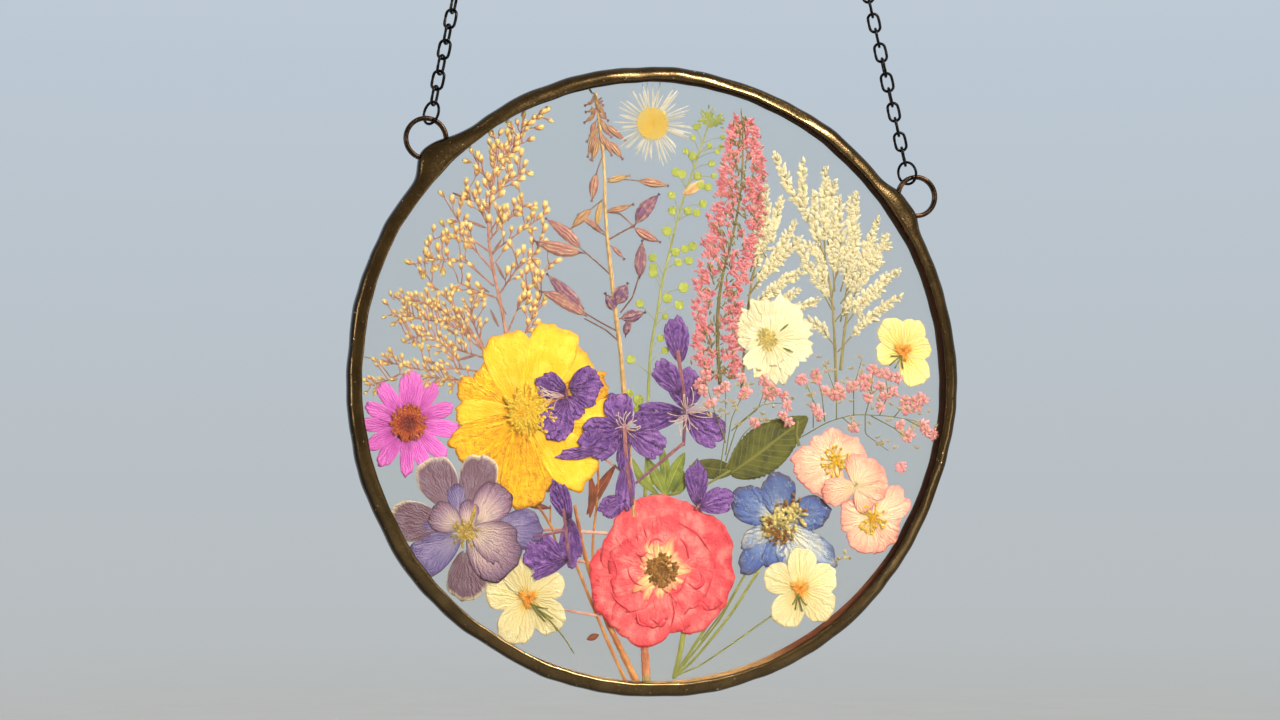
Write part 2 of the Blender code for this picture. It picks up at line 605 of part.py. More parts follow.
def purple_fireweed_flowers(parts):
    """Each flower's name, layer, stalk, and petals as (x, z, angle, length, width)."""
    flowers = (
        ("left_purple_flower", FRONT, [(-31, -3), (-31, -6.5)], [
            (-31, -4, 165, 9.5, 7), (-30, -3, 22, 10, 9.5), (-31, -6, -112, 13, 10), (-31, -5, -60, 7, 6)]),
        ("middle_purple_flower", FRONT, [(-12, -14), (-11.4, -26), (-10.5, -40)], [
            (-12, -15, 203, 14, 13), (-12, -15, 108, 10.5, 8.5), (-11, -16, -28, 13, 8.5),
            (-18, -22, 188, 15, 3.6), (-12, -17, -92, 12, 4), (-11, -26, -92, 15, 6),
            (-11, -38, 205, 9, 6.5)]),
        ("right_purple_flower", MID_FRONT, [(6, 10), (8, -4), (8.4, -12), (8, -21)], [
            (8, -10, 188, 16, 8), (9, -11, -32, 13.5, 10), (9, -9, 92, 12, 11), (7, -4, 128, 12, 7),
            (7, 6, 98, 14, 7.6), (8, -20, 95, 12, 2), (8, -20, 222, 12, 1.6)]),
        ("lower_purple_flower", FRONT, [(-32, -41), (-31, -50), (-30, -59)], [
            (-31, -46, 112, 13, 6), (-30, -45, -88, 15, 7), (-31, -58, 160, 14, 10),
            (-30, -57, 205, 13, 3.4), (-31, -48, 188, 10, 3)]),
        ("small_purple_flower", FRONT, [(12, -41.5), (13.4, -39.5)], [
            (12.5, -40.5, 92, 13.5, 6.6), (12.5, -40.5, 14, 12, 7.6)]),
    )
    for name, layer, stalk, petals in flowers:
        shapes = [petal(x, z, angle, length, width, 0.6) for x, z, angle, length, width in petals]
        shapes.append(ribbon(stalk, 2.4, 1.6))
        pressed(name, shapes, layer, PURPLE, parts)


def gypsophila(parts):
    sets = (
        ("gypsophila_left_sprig", [(21, -22), (24, -14), (30, -9)],
         [(15, 1), (17, -7), (28, 1), (35.5, 0), (37, -5), (42.5, -9), (32.5, -13)]),
        ("gypsophila_right_sprig", [(56, -15), (66, -10.5), (78, -11), (88, -12)],
         [(48.5, 1.5), (54, 2), (57, -3.5), (54, -10.5), (66.5, -1), (71.5, -5), (77, 2.5), (77, -4.5),
          (86, -7.5), (83.5, -16.5), (91.5, -14), (66, -15)]),
    )
    for name, stem, heads in sets:
        shapes = [ribbon(stem, 0.7, 0.5)]
        for number, (x, z) in enumerate(heads):
            foot = min(stem, key=lambda spot: math.dist(spot, (x, z)))
            if math.dist(foot, (x, z)) > 2:
                shapes.append(ribbon([foot, (x, z)], 0.5, 0.5))
            shapes.append(round_patch(x, z, 2.5, 5, 31 * number))
        pressed(name, shapes, FRONT, (0.85, 0.38, 0.42), parts)


def leaves_and_stems(parts):
    leaf = [petal(12, -34, 30, 44, 13, 0.5, 8)]
    pressed("green_leaf", leaf, BACK, (0.16, 0.2, 0.03), parts)
    middle = [petal(2, -37, 118, 13, 4.5, 0.5, 5), petal(2, -37, 66, 16, 5, 0.5, 5),
              petal(2, -37, 95, 18, 4, 0.5, 5), ribbon([(-3, -37), (2, -37), (7, -36)], 1.2, 1.2)]
    pressed("middle_leaves", middle, MID_BACK, (0.14, 0.2, 0.04), parts)
    green = [
        ribbon([(8.5, -80), (7, -88), (5, -96)], 2.2, 1.4),
        ribbon([(34, -61), (24, -76), (12, -90), (4.5, -96)], 1.0, 0.8),
        ribbon([(27, -64), (17, -78), (6, -94)], 1.0, 0.8),
        ribbon([(39, -72), (28, -82), (14, -92), (5, -95.5)], 0.7, 0.7),
    ]
    pressed("green_stems", green, BACK, (0.24, 0.3, 0.06), parts)
    brown = [
        ribbon([(-28, -38), (-24, -55), (-20, -73), (-12, -88), (-8, -97)], 1.4, 3.2),
        ribbon([(-31, -56), (-26, -66), (-19, -80), (-11, -97)], 1.2, 1.4),
        ribbon([(-21, -18), (-21, -34), (-20, -50), (-21, -72)], 0.8, 1.0),
        ribbon([(-43, -49), (-31, -47), (-17, -49.5)], 0.9, 1.2),
        ribbon([(-33, -57.5), (-19, -59)], 0.9, 1.2),
        ribbon([(-32, -73), (-19.5, -75.5)], 0.8, 1.2),
        ribbon([(-38, -40), (-35, -48)], 1.2, 1.0),
        petal(-24, -47, 60, 20, 3.4, 0.5, 5),
    ]
    pressed("brown_stems", brown, BACK, (0.42, 0.2, 0.08), parts)


def on_ring(angle):
    turn = math.radians(angle)
    return (RING_DISTANCE * math.cos(turn), RING_DISTANCE * math.sin(turn))


clear_scene()
suncatcher = new_collection("pressed flower suncatcher")
tools = new_collection("cutters")

# The panel turns about its pivot, which lies midway between the two rings' contact points. The
# hanger carries the chains. Both count from the panel's centre.
PANEL_PIVOT = helper("panel_pivot")
PANEL_CENTRE = helper("panel_centre", PANEL_PIVOT)
HANGER = helper("hanger")
RING_CENTRES = {"left": on_ring(LEFT_RING_ANGLE), "right": on_ring(RIGHT_RING_ANGLE)}

glass_and_rim(suncatcher, tools)
ring_finish = material("ring bronze", RING_BRONZE, 0.3, 1.0)
for ring_side, (ring_x, ring_z) in RING_CENTRES.items():
    ring_band(f"{ring_side}_soldered_ring", ring_x, ring_z, suncatcher, ring_finish)

CONNECTOR = wire_loop("connector", 2 * CONNECTOR_RADIUS, 2 * CONNECTOR_RADIUS, CONNECTOR_WIRE, 12)
LINK = wire_loop("link", LINK_LENGTH, LINK_WIDTH, LINK_WIRE, 8)
END_RING = wire_loop("end ring", 2 * END_RING_RADIUS, 2 * END_RING_RADIUS, END_RING_WIRE, 14)
black = material("chain black", CHAIN_BLACK, 0.35, 1.0)
left_end = chain("left", RING_CENTRES["left"], LEFT_CONTACT_ANGLE, LEFT_LEAN, LEFT_CONNECTOR_TURN,
                 LEFT_LINK_TURNS, LEFT_LINKS, suncatcher, black)
right_end = chain("right", RING_CENTRES["right"], RIGHT_CONTACT_ANGLE, RIGHT_LEAN, RIGHT_CONNECTOR_TURN,
                  RIGHT_LINK_TURNS, RIGHT_LINKS, suncatcher, black)

goldenrod(suncatcher)
fireweed(suncatcher)
daisy(suncatcher)
pepperweed(suncatcher)
veronica(suncatcher)
statice(suncatcher)
round_flowers(suncatcher)
purple_fireweed_flowers(suncatcher)
gypsophila(suncatcher)
leaves_and_stems(suncatcher)

# Each end ring hangs from the top of its inner side, and the origin is midway between the two.
hanging_height = Vector((0.0, 0.0, END_RING_RADIUS - END_RING_WIRE))
HANGER.location = -((left_end + right_end) / 2 + hanging_height) * MM
left_contact = contact_point(RING_CENTRES["left"], LEFT_CONTACT_ANGLE)
right_contact = contact_point(RING_CENTRES["right"], RIGHT_CONTACT_ANGLE)
PANEL_CENTRE.location = -(left_contact + right_contact) / 2 * MM
PANEL_PIVOT.location = HANGER.location - PANEL_CENTRE.location

for cutter in tools.objects:
    cutter.hide_render = True
    cutter.display_type = "WIRE"
for piece in suncatcher.objects:
    if piece.type == "MESH":
        piece.data.shade_smooth()
        piece.data.set_sharp_from_angle(angle=math.radians(35))
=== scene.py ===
# %% [markdown]
# # A round panel of pressed flowers
#
# The real object is a hanging panel: two discs of clear glass with dried flowers between them, copper
# foil round the edge, and solder over the foil. Two rings are soldered on, and a black chain rises
# from each. The lesson starts by loading the panel's plain solids, because every piece below takes
# its place from them.

# %% Load the frame
import math

import bpy
import numpy as np
from mathutils import Matrix, Vector


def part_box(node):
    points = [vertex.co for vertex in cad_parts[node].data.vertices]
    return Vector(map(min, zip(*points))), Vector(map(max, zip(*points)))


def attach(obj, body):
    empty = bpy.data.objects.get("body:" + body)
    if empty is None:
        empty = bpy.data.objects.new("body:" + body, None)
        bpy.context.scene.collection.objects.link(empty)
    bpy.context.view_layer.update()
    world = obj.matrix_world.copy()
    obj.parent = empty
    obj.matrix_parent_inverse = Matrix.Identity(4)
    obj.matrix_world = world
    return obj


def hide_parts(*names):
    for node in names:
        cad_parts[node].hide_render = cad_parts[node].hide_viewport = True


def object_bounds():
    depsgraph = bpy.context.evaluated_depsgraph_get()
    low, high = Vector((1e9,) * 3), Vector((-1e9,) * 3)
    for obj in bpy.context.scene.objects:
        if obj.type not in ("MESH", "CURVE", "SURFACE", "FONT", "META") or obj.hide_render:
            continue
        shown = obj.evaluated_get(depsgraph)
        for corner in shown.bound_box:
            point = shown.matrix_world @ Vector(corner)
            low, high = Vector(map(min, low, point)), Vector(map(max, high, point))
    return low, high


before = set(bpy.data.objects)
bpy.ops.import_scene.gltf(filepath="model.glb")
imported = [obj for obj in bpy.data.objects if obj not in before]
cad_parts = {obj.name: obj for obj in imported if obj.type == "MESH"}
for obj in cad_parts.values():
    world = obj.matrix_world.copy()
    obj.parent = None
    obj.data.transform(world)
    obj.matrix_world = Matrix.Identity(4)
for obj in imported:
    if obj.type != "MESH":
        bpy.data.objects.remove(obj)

cad_box = [list(corner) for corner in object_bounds()]
scene = bpy.context.scene
MM = 0.001
TURN = 2 * math.pi
dice = np.random.default_rng
glass_low, glass_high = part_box("front_glass")
CENTRE = np.array([(glass_low.x + glass_high.x) / 2, 0.0, (glass_low.z + glass_high.z) / 2])

# %% [markdown]
# ## The camera and the light
#
# The photo was taken from slightly left of the panel and below its middle, through a longish lens. A
# camera could be aimed by hand, but one placed by angles and distance stays right if the panel moves.

# %% Camera
AZIMUTH, ELEVATION = math.radians(-14.5), math.radians(-2.0)
DISTANCE, SHIFT_RIGHT, SHIFT_UP = 0.85, -0.00618, 0.00685
LENS, SENSOR_WIDTH = 73.81, 36.0
NEAR, FAR = 0.01, 50.0


def show(thing):
    """Puts a new object into the scene."""
    bpy.context.collection.objects.link(thing)


towards = Vector((math.sin(AZIMUTH) * math.cos(ELEVATION), -math.cos(AZIMUTH) * math.cos(ELEVATION),
    math.sin(ELEVATION)))
right = Vector((math.cos(AZIMUTH), math.sin(AZIMUTH), 0.0))
up = towards.cross(right)
camera = bpy.data.objects.new("camera", bpy.data.cameras.new("camera"))
camera.data.lens, camera.data.sensor_width = LENS, SENSOR_WIDTH
camera.location = Vector(CENTRE) + towards * DISTANCE + right * SHIFT_RIGHT + up * SHIFT_UP
camera.rotation_euler = Matrix((right, up, towards)).transposed().to_euler()
camera.data.clip_start, camera.data.clip_end = NEAR, FAR
show(camera)
scene.camera = camera
print("camera at", [round(x, 3) for x in camera.location])

# %% [markdown]
# Materials are built from nodes. A small helper adds a node and sets or links its sockets, so that a
# chain of nodes reads like a formula.

# %% Node helper
def add(tree, kind, inputs=None, **settings):
    """Adds a shader node. inputs maps a socket's name or number to a value or to another socket."""
    made = tree.nodes.new("ShaderNode" + kind)
    for name, value in settings.items():
        setattr(made, name, value)
    for key, value in (inputs or {}).items():
        socket = made.inputs[key]
        if isinstance(value, bpy.types.NodeSocket):
            tree.links.new(value, socket)
        else:
            socket.default_value = value
    return made


def rgb(red, green, blue):
    return (red, green, blue, 1.0)


def ramp(tree, factor, *stops):
    """A colour that changes along a factor. Each stop is a place from 0 to 1 and a colour."""
    made = add(tree, "ValToRGB", {"Fac": factor})
    elements = made.color_ramp.elements
    while len(elements) < len(stops):
        elements.new(0.5)
    for element, (place, colour) in zip(elements, stops):
        element.position, element.color = place, colour
    return made.outputs["Color"]


def mix(tree, factor, first, second, blend="MIX"):
    """Two colours mixed: all of the first at factor 0, all of the second at factor 1."""
    made = add(tree, "Mix", {0: factor, 6: first, 7: second}, data_type="RGBA", blend_type=blend)
    return made.outputs[2]


def sums(tree, operation, first, second=0.0, third=0.0):
    """One step of arithmetic on values or sockets."""
    return add(tree, "Math", {0: first, 1: second, 2: third}, operation=operation).outputs[0]


def times(tree, first, second, plus=0.0):
    """Two values multiplied, and a third added."""
    return sums(tree, "MULTIPLY_ADD", first, second, plus)


def rise(tree, value, low, high, top=1.0, bottom=0.0):
    """A soft step: the bottom where the value is at low, the top where it is at high."""
    return add(tree, "MapRange", {0: value, 1: low, 2: high, 3: bottom, 4: top},
        interpolation_type="SMOOTHSTEP").outputs[0]


def noise(tree, vector, scale, detail=2.0):
    return add(tree, "TexNoise", {"Vector": vector, "Scale": scale, "Detail": detail}).outputs[0]


def bumps(tree, height, strength, depth):
    """The surface's normal, tilted as if the surface rose and fell with the height by this depth."""
    return add(tree, "Bump", {"Height": height, "Strength": strength, "Distance": depth}).outputs[0]


def new_material(name):
    made = bpy.data.materials.new(name)
    made.use_nodes = True
    made.node_tree.nodes.clear()
    return made, made.node_tree


def clothe(tree, inputs, glow=0.0):
    """The material's main shader and its output. glow is the share of light that passes through."""
    shader = add(tree, "BsdfPrincipled", inputs)
    if glow:
        through = add(tree, "BsdfTranslucent", {"Color": inputs["Base Color"], "Normal": inputs["Normal"]})
        shader = add(tree, "MixShader", {0: glow, 1: shader.outputs[0], 2: through.outputs[0]})
    add(tree, "OutputMaterial", {"Surface": shader.outputs[0]})


# %% [markdown]
# The studio is plain: a pale floor, a pale surround and soft lights. Metal needs something to reflect,
# so the surround is brighter above, and warm and dim on the viewer's side, as in a low sun. Glass would
# mirror the two largest lights as white sheets, so they light the panel without being mirrored, and no
# lamp is seen through the glass. Blender's filmic view would wash out petals as strong as these, so the
# view is the plain one.

# %% Studio
FLOOR_DROP = 0.075
FLOOR_RADIUS = 6.0
FLOOR_DARK, FLOOR_LIGHT = rgb(0.5, 0.5, 0.49), rgb(0.54, 0.54, 0.53)
FADE_START, FADE_END, FADE_LEAST = 0.1, 1.5, 0.15
SURROUND_LOW, SURROUND_HIGH = rgb(0.47, 0.48, 0.47), rgb(0.5, 0.575, 0.65)
SURROUND_TOP, SURROUND_FRONT, FRONT_SHARE = rgb(0.8, 0.85, 0.9), rgb(0.62, 0.52, 0.36), 0.42
# where in the colours the horizon is, how steeply they climb, and where the front passes into the back
HORIZON, CLIMB, FRONT_END, BACK_START = 0.21, 1.316, -0.6, 0.5

scene.view_settings.view_transform = "Standard"
world = bpy.data.worlds.new("studio")
scene.world = world
world.use_nodes = True
world.node_tree.nodes.clear()
air = world.node_tree
heading = add(air, "SeparateXYZ", {0: add(air, "NewGeometry").outputs["Position"]}).outputs
height = times(air, heading["Z"], CLIMB, HORIZON)
sky = ramp(air, height, (0.0, SURROUND_LOW), (0.4, SURROUND_HIGH), (1.0, SURROUND_TOP))
behind = rise(air, heading["Y"], FRONT_END, BACK_START)
strength = times(air, behind, 1 - FRONT_SHARE, FRONT_SHARE)
surround = add(air, "Background", {"Color": mix(air, behind, SURROUND_FRONT, sky), "Strength": strength})
add(air, "OutputWorld", {"Surface": surround.outputs[0]})

# name, place, width, height, power in watts, colour, whether glass and metal mirror it
LIGHTS = (
    ("key light", (0.75, -1.6, 0.8), 0.4, 0.4, 29.0, (1.0, 0.9, 0.73), True),
    ("fill light", (-1.4, -1.0, -1.0), 1.3, 1.3, 6.0, (1.0, 0.94, 0.84), False),
    ("side light", (1.5, -1.2, -0.55), 0.16, 0.9, 3.2, (1.0, 0.95, 0.86), True),
    ("rim light", (-1.7, -0.5, 0.1), 0.2, 0.8, 7.0, (1.0, 0.9, 0.74), True),
    ("back light", (-0.5, 1.6, 1.2), 1.2, 1.2, 8.0, (1.0, 0.98, 0.94), False),
)
for light_name, place, width, tall, power, colour, mirrored in LIGHTS:
    lamp = bpy.data.lights.new(light_name, "AREA")
    lamp.shape = "RECTANGLE"
    lamp.size, lamp.size_y, lamp.energy, lamp.color = width, tall, power, colour
    lamp_object = bpy.data.objects.new(light_name, lamp)
    lamp_object.location = place
    lamp_object.rotation_euler = (Vector(CENTRE) - Vector(place)).to_track_quat("-Z", "Y").to_euler()
    lamp_object.visible_glossy, lamp_object.visible_transmission = mirrored, False
    show(lamp_object)


def floor_material():
    """Pale and matt, with a faint grain. Far out it fades away, so that no horizon line shows."""
    made, tree = new_material("pale floor")
    place = add(tree, "TexCoord").outputs["Object"]
    colour = ramp(tree, noise(tree, place, 30.0, 3.0), (0.3, FLOOR_DARK), (0.7, FLOOR_LIGHT))
    shader = add(tree, "BsdfPrincipled", {"Base Color": colour, "Roughness": 0.9})
    far = add(tree, "VectorMath", {0: place}, operation="LENGTH").outputs["Value"]
    faded = rise(tree, far, FADE_START, FADE_END, 1.0, FADE_LEAST)
    nothing = add(tree, "BsdfTransparent").outputs[0]
    both = add(tree, "MixShader", {0: faded, 1: shader.outputs[0], 2: nothing})
    add(tree, "OutputMaterial", {"Surface": both.outputs[0]})
    return made


corners = np.array([(-1, -1), (1, -1), (1, 1), (-1, 1)]) * FLOOR_RADIUS
floor_height = cad_box[0][2] - FLOOR_DROP
floor_mesh = bpy.data.meshes.new("floor")
floor_mesh.from_pydata([(x, y, floor_height) for x, y in corners], [], [(0, 1, 2, 3)])
floor = bpy.data.objects.new("floor", floor_mesh)
floor_mesh.materials.append(floor_material())
show(floor)
print("lights", len(LIGHTS), "floor at", round(floor_height, 3))

# %% [markdown]
# ## Surfaces from numpy
#
# Every piece is a surface worked out as whole arrays. Three forms are enough: a tube is a ring of
# points carried along a path, for stems, wire and buds; a shell is a thin sheet with a front, a back
# and an edge, for petals; a turned form is a section carried round a circle, for glass and rim. A
# pile collects the surfaces of one piece, in millimetres from the disc's centre.

# %% Surfaces
def grid_quads(rows, columns, close_rows=False, close_columns=False):
    """The quads of a grid of points numbered row by row. Closing joins its last line to its first."""
    row = np.arange(rows if close_rows else rows - 1)
    column = np.arange(columns if close_columns else columns - 1)
    row, column = np.meshgrid(row, column, indexing="ij")
    up, across = (row + 1) % rows, (column + 1) % columns
    corners = [(row, column), (row, across), (up, across), (up, column)]
    return np.stack([r * columns + c for r, c in corners], -1).reshape(-1, 4)


def circle(count):
    return np.linspace(0, TURN, count, endpoint=False)


def pairs(across, upward):
    """The UV map of a grid: every pair of the two lists, row by row."""
    return np.stack(np.meshgrid(across, upward), -1).reshape(-1, 2)


def cap_quads(ring):
    """A flat cap over a ring with an even number of points, as a fan of quads from its first point."""
    return np.array([[ring[0], ring[j], ring[j + 1], ring[j + 2]] for j in range(1, len(ring) - 2, 2)])


def tube_quads(rows, sides, closed=False):
    """The quads of rings one after the other: a closed loop of them, or a cap on the first and last."""
    if closed:
        return grid_quads(rows, sides, True, True)
    return np.concatenate([grid_quads(rows, sides, close_columns=True), cap_quads(np.arange(sides)[::-1]),
        cap_quads(np.arange(sides) + (rows - 1) * sides)])


def outward(points, quads):
    """The quads, turned round if the closed surface they make has a negative volume."""
    a, b, c, d = (points[quads[:, i]] for i in range(4))
    volume = np.einsum("ij,ij->", a, np.cross(b, c)) + np.einsum("ij,ij->", a, np.cross(c, d))
    return quads if volume > 0 else quads[:, ::-1]


# half the gap between the panes, and how suddenly a plant bends to stay within it
GAP_LIMIT, GAP_POWER = 1.05, 6


class Pile:
    """Collects closed surfaces in millimetres from the disc's centre, and makes one mesh of them."""

    def __init__(self):
        self.parts, self.count = [], 0

    def put(self, form, kind=0, tone=0.5, sharp=False):
        """A form is its points, quads and UVs, and a sheet also says which of its quads are shaded flat.
        kind is the number of its material, and tone a number from 0 to 1 by which the material may
        shade one petal or bud unlike the next."""
        points, quads, uvs, *edge = form
        flat = np.broadcast_to(edge[0] if edge else sharp, len(quads))
        self.parts.append((points, outward(points, quads) + self.count, uvs, np.full(len(quads), kind),
            flat, np.broadcast_to(tone, len(points))))
        self.count += len(points)

    def lay(self, sheet, kind, seed):
        """A sheet with a tone of its own."""
        self.put(sheet, kind, dice(seed).uniform(0, 1))

    def strew(self, form, count, random, kind=0, top=1.0):
        """That many small bodies, as grains() or stars() makes them, each with a tone of its own."""
        self.put(form, kind, np.repeat(random.uniform(0, top, count), len(form[0]) // count))

    def press(self):
        """Draws the depths in smoothly, so that nothing passes the faces of the two panes."""
        for points, *_ in self.parts:
            points[:, 1] /= (1 + np.abs(points[:, 1] / GAP_LIMIT) ** GAP_POWER) ** (1 / GAP_POWER)

    def finish(self, name, finishes, body, slot, *nodes):
        """The piece itself: in metres, at its place, riding on its body in place of those nodes."""
        points, quads, uvs, kinds, sharp, tones = (np.concatenate(column) for column in zip(*self.parts))
        mesh = bpy.data.meshes.new(name)
        mesh.from_pydata((points * MM + CENTRE).astype(np.float32), [], quads.tolist())
        mesh.polygons.foreach_set("material_index", kinds.astype(np.int32))
        mesh.shade_smooth()
        flat = mesh.attributes.new("sharp_face", "BOOLEAN", "FACE")
        flat.data.foreach_set("value", sharp)
        layer = mesh.uv_layers.new(name="form")
        layer.data.foreach_set("uv", uvs[quads.ravel()].astype(np.float32).ravel())
        tone = mesh.attributes.new("tone", "FLOAT", "POINT")
        tone.data.foreach_set("value", tones.astype(np.float32))
        for finish in finishes:
            mesh.materials.append(finish)
        piece = bpy.data.objects.new(name, mesh)
        show(piece)
        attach(piece, body)
        if nodes:
            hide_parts(*nodes)
        print(f"{name}: {len(quads)} quads")
        return piece


def tubes(paths, radii, sides, flat=1.0, closed=False):
    """Round strands, many at once: paths is strands by points by 3. At each point of a path stands a
    ring of points, in the plane square to the path. flat is its depth as a share of its width."""
    paths = np.asarray(paths, float)
    strands, count = paths.shape[:2]
    ahead = np.roll(paths, -1, 1) - np.roll(paths, 1, 1) if closed else np.gradient(paths, axis=1)
    ahead /= np.linalg.norm(ahead, axis=2, keepdims=True) + 1e-9
    side = np.cross(ahead, (0.0, 1.0, 0.0))
    side /= np.linalg.norm(side, axis=2, keepdims=True) + 1e-9
    over = np.cross(side, ahead)
    turn = circle(sides)[:, None] + np.pi / sides
    radii = np.broadcast_to(np.asarray(radii, float), (strands, count))[..., None, None]
    ring = side[:, :, None] * np.cos(turn) + over[:, :, None] * np.sin(turn) * flat
    points = (paths[:, :, None] + radii * ring).reshape(-1, 3)
    first = (np.arange(strands) * count * sides)[:, None, None]
    quads = (tube_quads(count, sides, closed) + first).reshape(-1, 4)
    uvs = pairs(circle(sides) / TURN, np.linspace(0, 1, count))
    return points, quads, np.tile(uvs, (strands, 1))


def tube(path, radius, sides, flat=1.0, closed=False):
    """One such strand."""
    return tubes([path], [radius], sides, flat, closed)


def turned(radii, depths, turn, closed=True, middle=(0.0, 0.0)):
    """A section carried round a circle. Each row has a radius and a depth, one for all angles or one for
    each. A closed section is a loop, and an open one has a cap at each end."""
    rows, size = len(radii), (len(radii), len(turn))
    radii, depths = (np.broadcast_to(np.reshape(line, (rows, -1)), size) for line in (radii, depths))
    points = np.stack([middle[0] + radii * np.cos(turn), depths, middle[1] + radii * np.sin(turn)], -1)
    uvs = pairs(turn / TURN, np.arange(rows) / rows)
    return points.reshape(-1, 3), tube_quads(*size, closed), uvs


def shell(front, thickness, uv):
    """A thin closed sheet from a grid of points: the same grid again behind it, and quads all round
    the edge between the two. Returns the points, the quads, the UVs and which quads are the edge."""
    rows, columns = front.shape[:2]
    behind = front + [0.0, thickness, 0.0]
    number = np.arange(rows * columns).reshape(rows, columns)
    rim = np.concatenate([number[0], number[1:, -1], number[-1, -2::-1], number[-2:0:-1, 0]])
    after = np.roll(rim, -1)
    face = grid_quads(rows, columns)
    size = rows * columns
    edge = np.column_stack([after, rim, rim + size, after + size])
    quads = np.concatenate([face, face[:, ::-1] + size, edge])
    points = np.concatenate([front.reshape(-1, 3), behind.reshape(-1, 3)])
    sharp = np.arange(len(quads)) >= 2 * len(face)
    flat_uv = uv.reshape(-1, 2)
    return points, quads, np.concatenate([flat_uv, flat_uv]), sharp


def steps_of(line):
    """The distances from each point of a line to the next."""
    return np.linalg.norm(np.diff(line, axis=0), axis=1)


def smooth_path(points, count, rounds=4):
    """A line through given points: evenly spaced, then rounded by averaging each point with its
    neighbours a few times."""
    points = np.array(points, float)
    length = np.r_[0, np.cumsum(steps_of(points))]
    even = np.linspace(0, length[-1], count)
    line = np.column_stack([np.interp(even, length, axis) for axis in points.T])
    for _ in range(rounds):
        line[1:-1] = (line[:-2] + 2 * line[1:-1] + line[2:]) / 4
    return line


# %% [markdown]
# ## Metal finishes
#
# Solder, rings and chain were blackened with patina and then rubbed, so they are dark in the hollows
# and warm on the high spots. The rubbing is one shared node group, a soft mask from two sizes of
# noise, with which each metal mixes its dark and its worn colour.

# %% Patina group
GRAIN_PER_MM, GRAIN_SHARE, GRAIN_ROUGHNESS, GRAIN_DEPTH = 1.6, 0.35, 0.3, 0.2 * MM
# the noise is rubbed from the first value on, or this much earlier at full amount, to the last
RUB_START, RUB_EARLIER, RUB_FULL = 0.72, 0.4, 0.74
PATINA_RELIEF = 0.15


def new_group(name, inputs, outputs):
    """An empty node group. An input without a value is a vector, and every other socket a number."""
    group = bpy.data.node_groups.new(name, "ShaderNodeTree")
    for title, value in inputs.items():
        kind = "NodeSocketVector" if value is None else "NodeSocketFloat"
        socket = group.interface.new_socket(title, in_out="INPUT", socket_type=kind)
        if value is not None:
            socket.default_value = value
    for title in outputs:
        group.interface.new_socket(title, in_out="OUTPUT", socket_type="NodeSocketFloat")
    return group, group.nodes.new("NodeGroupInput").outputs, group.nodes.new("NodeGroupOutput").inputs


def use_group(tree, group, inputs):
    return add(tree, "Group", inputs, node_tree=group).outputs


def in_millimetres(tree, place):
    return add(tree, "VectorMath", {0: place, "Scale": 1 / MM}, operation="SCALE").outputs[0]


rubbed, entry, leave = new_group("rubbed patina", {"Position": None, "Patch size": 4.0, "Amount": 0.5},
    ("Wear", "Grain"))
spot = in_millimetres(rubbed, entry["Position"])
broad = noise(rubbed, spot, sums(rubbed, "DIVIDE", 1.0, entry["Patch size"]), 3.0)
fine = noise(rubbed, spot, GRAIN_PER_MM, 4.0)
blend = times(rubbed, fine, GRAIN_SHARE, times(rubbed, broad, 1 - GRAIN_SHARE))
rub_start = times(rubbed, entry["Amount"], -RUB_EARLIER, RUB_START)
rubbed.links.new(rise(rubbed, blend, rub_start, RUB_FULL), leave["Wear"])
rubbed.links.new(fine, leave["Grain"])


def patina_metal(name, dark, worn, patch_size, amount, roughness):
    """A blackened metal rubbed back to its worn colour in patches."""
    made, tree = new_material(name)
    place = add(tree, "TexCoord").outputs["Object"]
    rub = use_group(tree, rubbed, {"Position": place, "Patch size": patch_size, "Amount": amount})
    uneven = times(tree, rub["Grain"], GRAIN_ROUGHNESS, roughness)
    relief = bumps(tree, rub["Grain"], PATINA_RELIEF, GRAIN_DEPTH)
    colour = mix(tree, rub["Wear"], dark, worn)
    clothe(tree, {"Base Color": colour, "Metallic": 1.0, "Roughness": uneven, "Normal": relief})
    return made


# the worn colour also makes a painted reflection on the bead's front and back faces, and the bright specks
# are painted glints
SOLDER_DARK, SOLDER_WORN_AND_SHEEN = rgb(0.02, 0.014, 0.01), rgb(0.24, 0.165, 0.08)
PIT_DARK, SPECK_GLINT = rgb(0.008, 0.006, 0.005), rgb(0.72, 0.6, 0.4)
PITS_FULL, PITS_END, GLINTS_START, GLINTS_FULL = 0.24, 0.27, 0.745, 0.77


def solder_material():
    """Dark bronze patina, golden where the bead faces front or back as a painted reflection, and more so
    in rubbed patches. A few bright specks are painted glints, and there are dark pits."""
    made, tree = new_material("blackened solder")
    coordinates = add(tree, "TexCoord").outputs
    rub = use_group(tree, rubbed, {"Position": coordinates["Object"], "Patch size": 9.0, "Amount": 0.9})
    facing_sheen = sums(tree, "ABSOLUTE", add(tree, "SeparateXYZ", {0: coordinates["Normal"]}).outputs["Y"])
    # painted reflection: the rubbed colour shows only on faces turned to the front or back, and the sides
    # stay dark
    worn = times(tree, rise(tree, facing_sheen, 0.45, 1.0), times(tree, rub["Wear"], 0.55, 0.45))
    colour = mix(tree, worn, SOLDER_DARK, SOLDER_WORN_AND_SHEEN)
    dots = noise(tree, in_millimetres(tree, coordinates["Object"]), 1.1, 1.0)
    pit = rise(tree, dots, PITS_END, PITS_FULL)
    colour = mix(tree, pit, colour, PIT_DARK)
    # painted glints: a few bright specks on the solder
    colour = mix(tree, rise(tree, dots, GLINTS_START, GLINTS_FULL), colour, SPECK_GLINT)
    relief = times(tree, pit, -1.0, times(tree, rub["Grain"], 0.35))
    clothe(tree, {"Base Color": colour, "Roughness": times(tree, rub["Grain"], 0.16, 0.14), "Metallic": 1.0,
        "Normal": bumps(tree, relief, 0.5, GRAIN_DEPTH)})
    return made


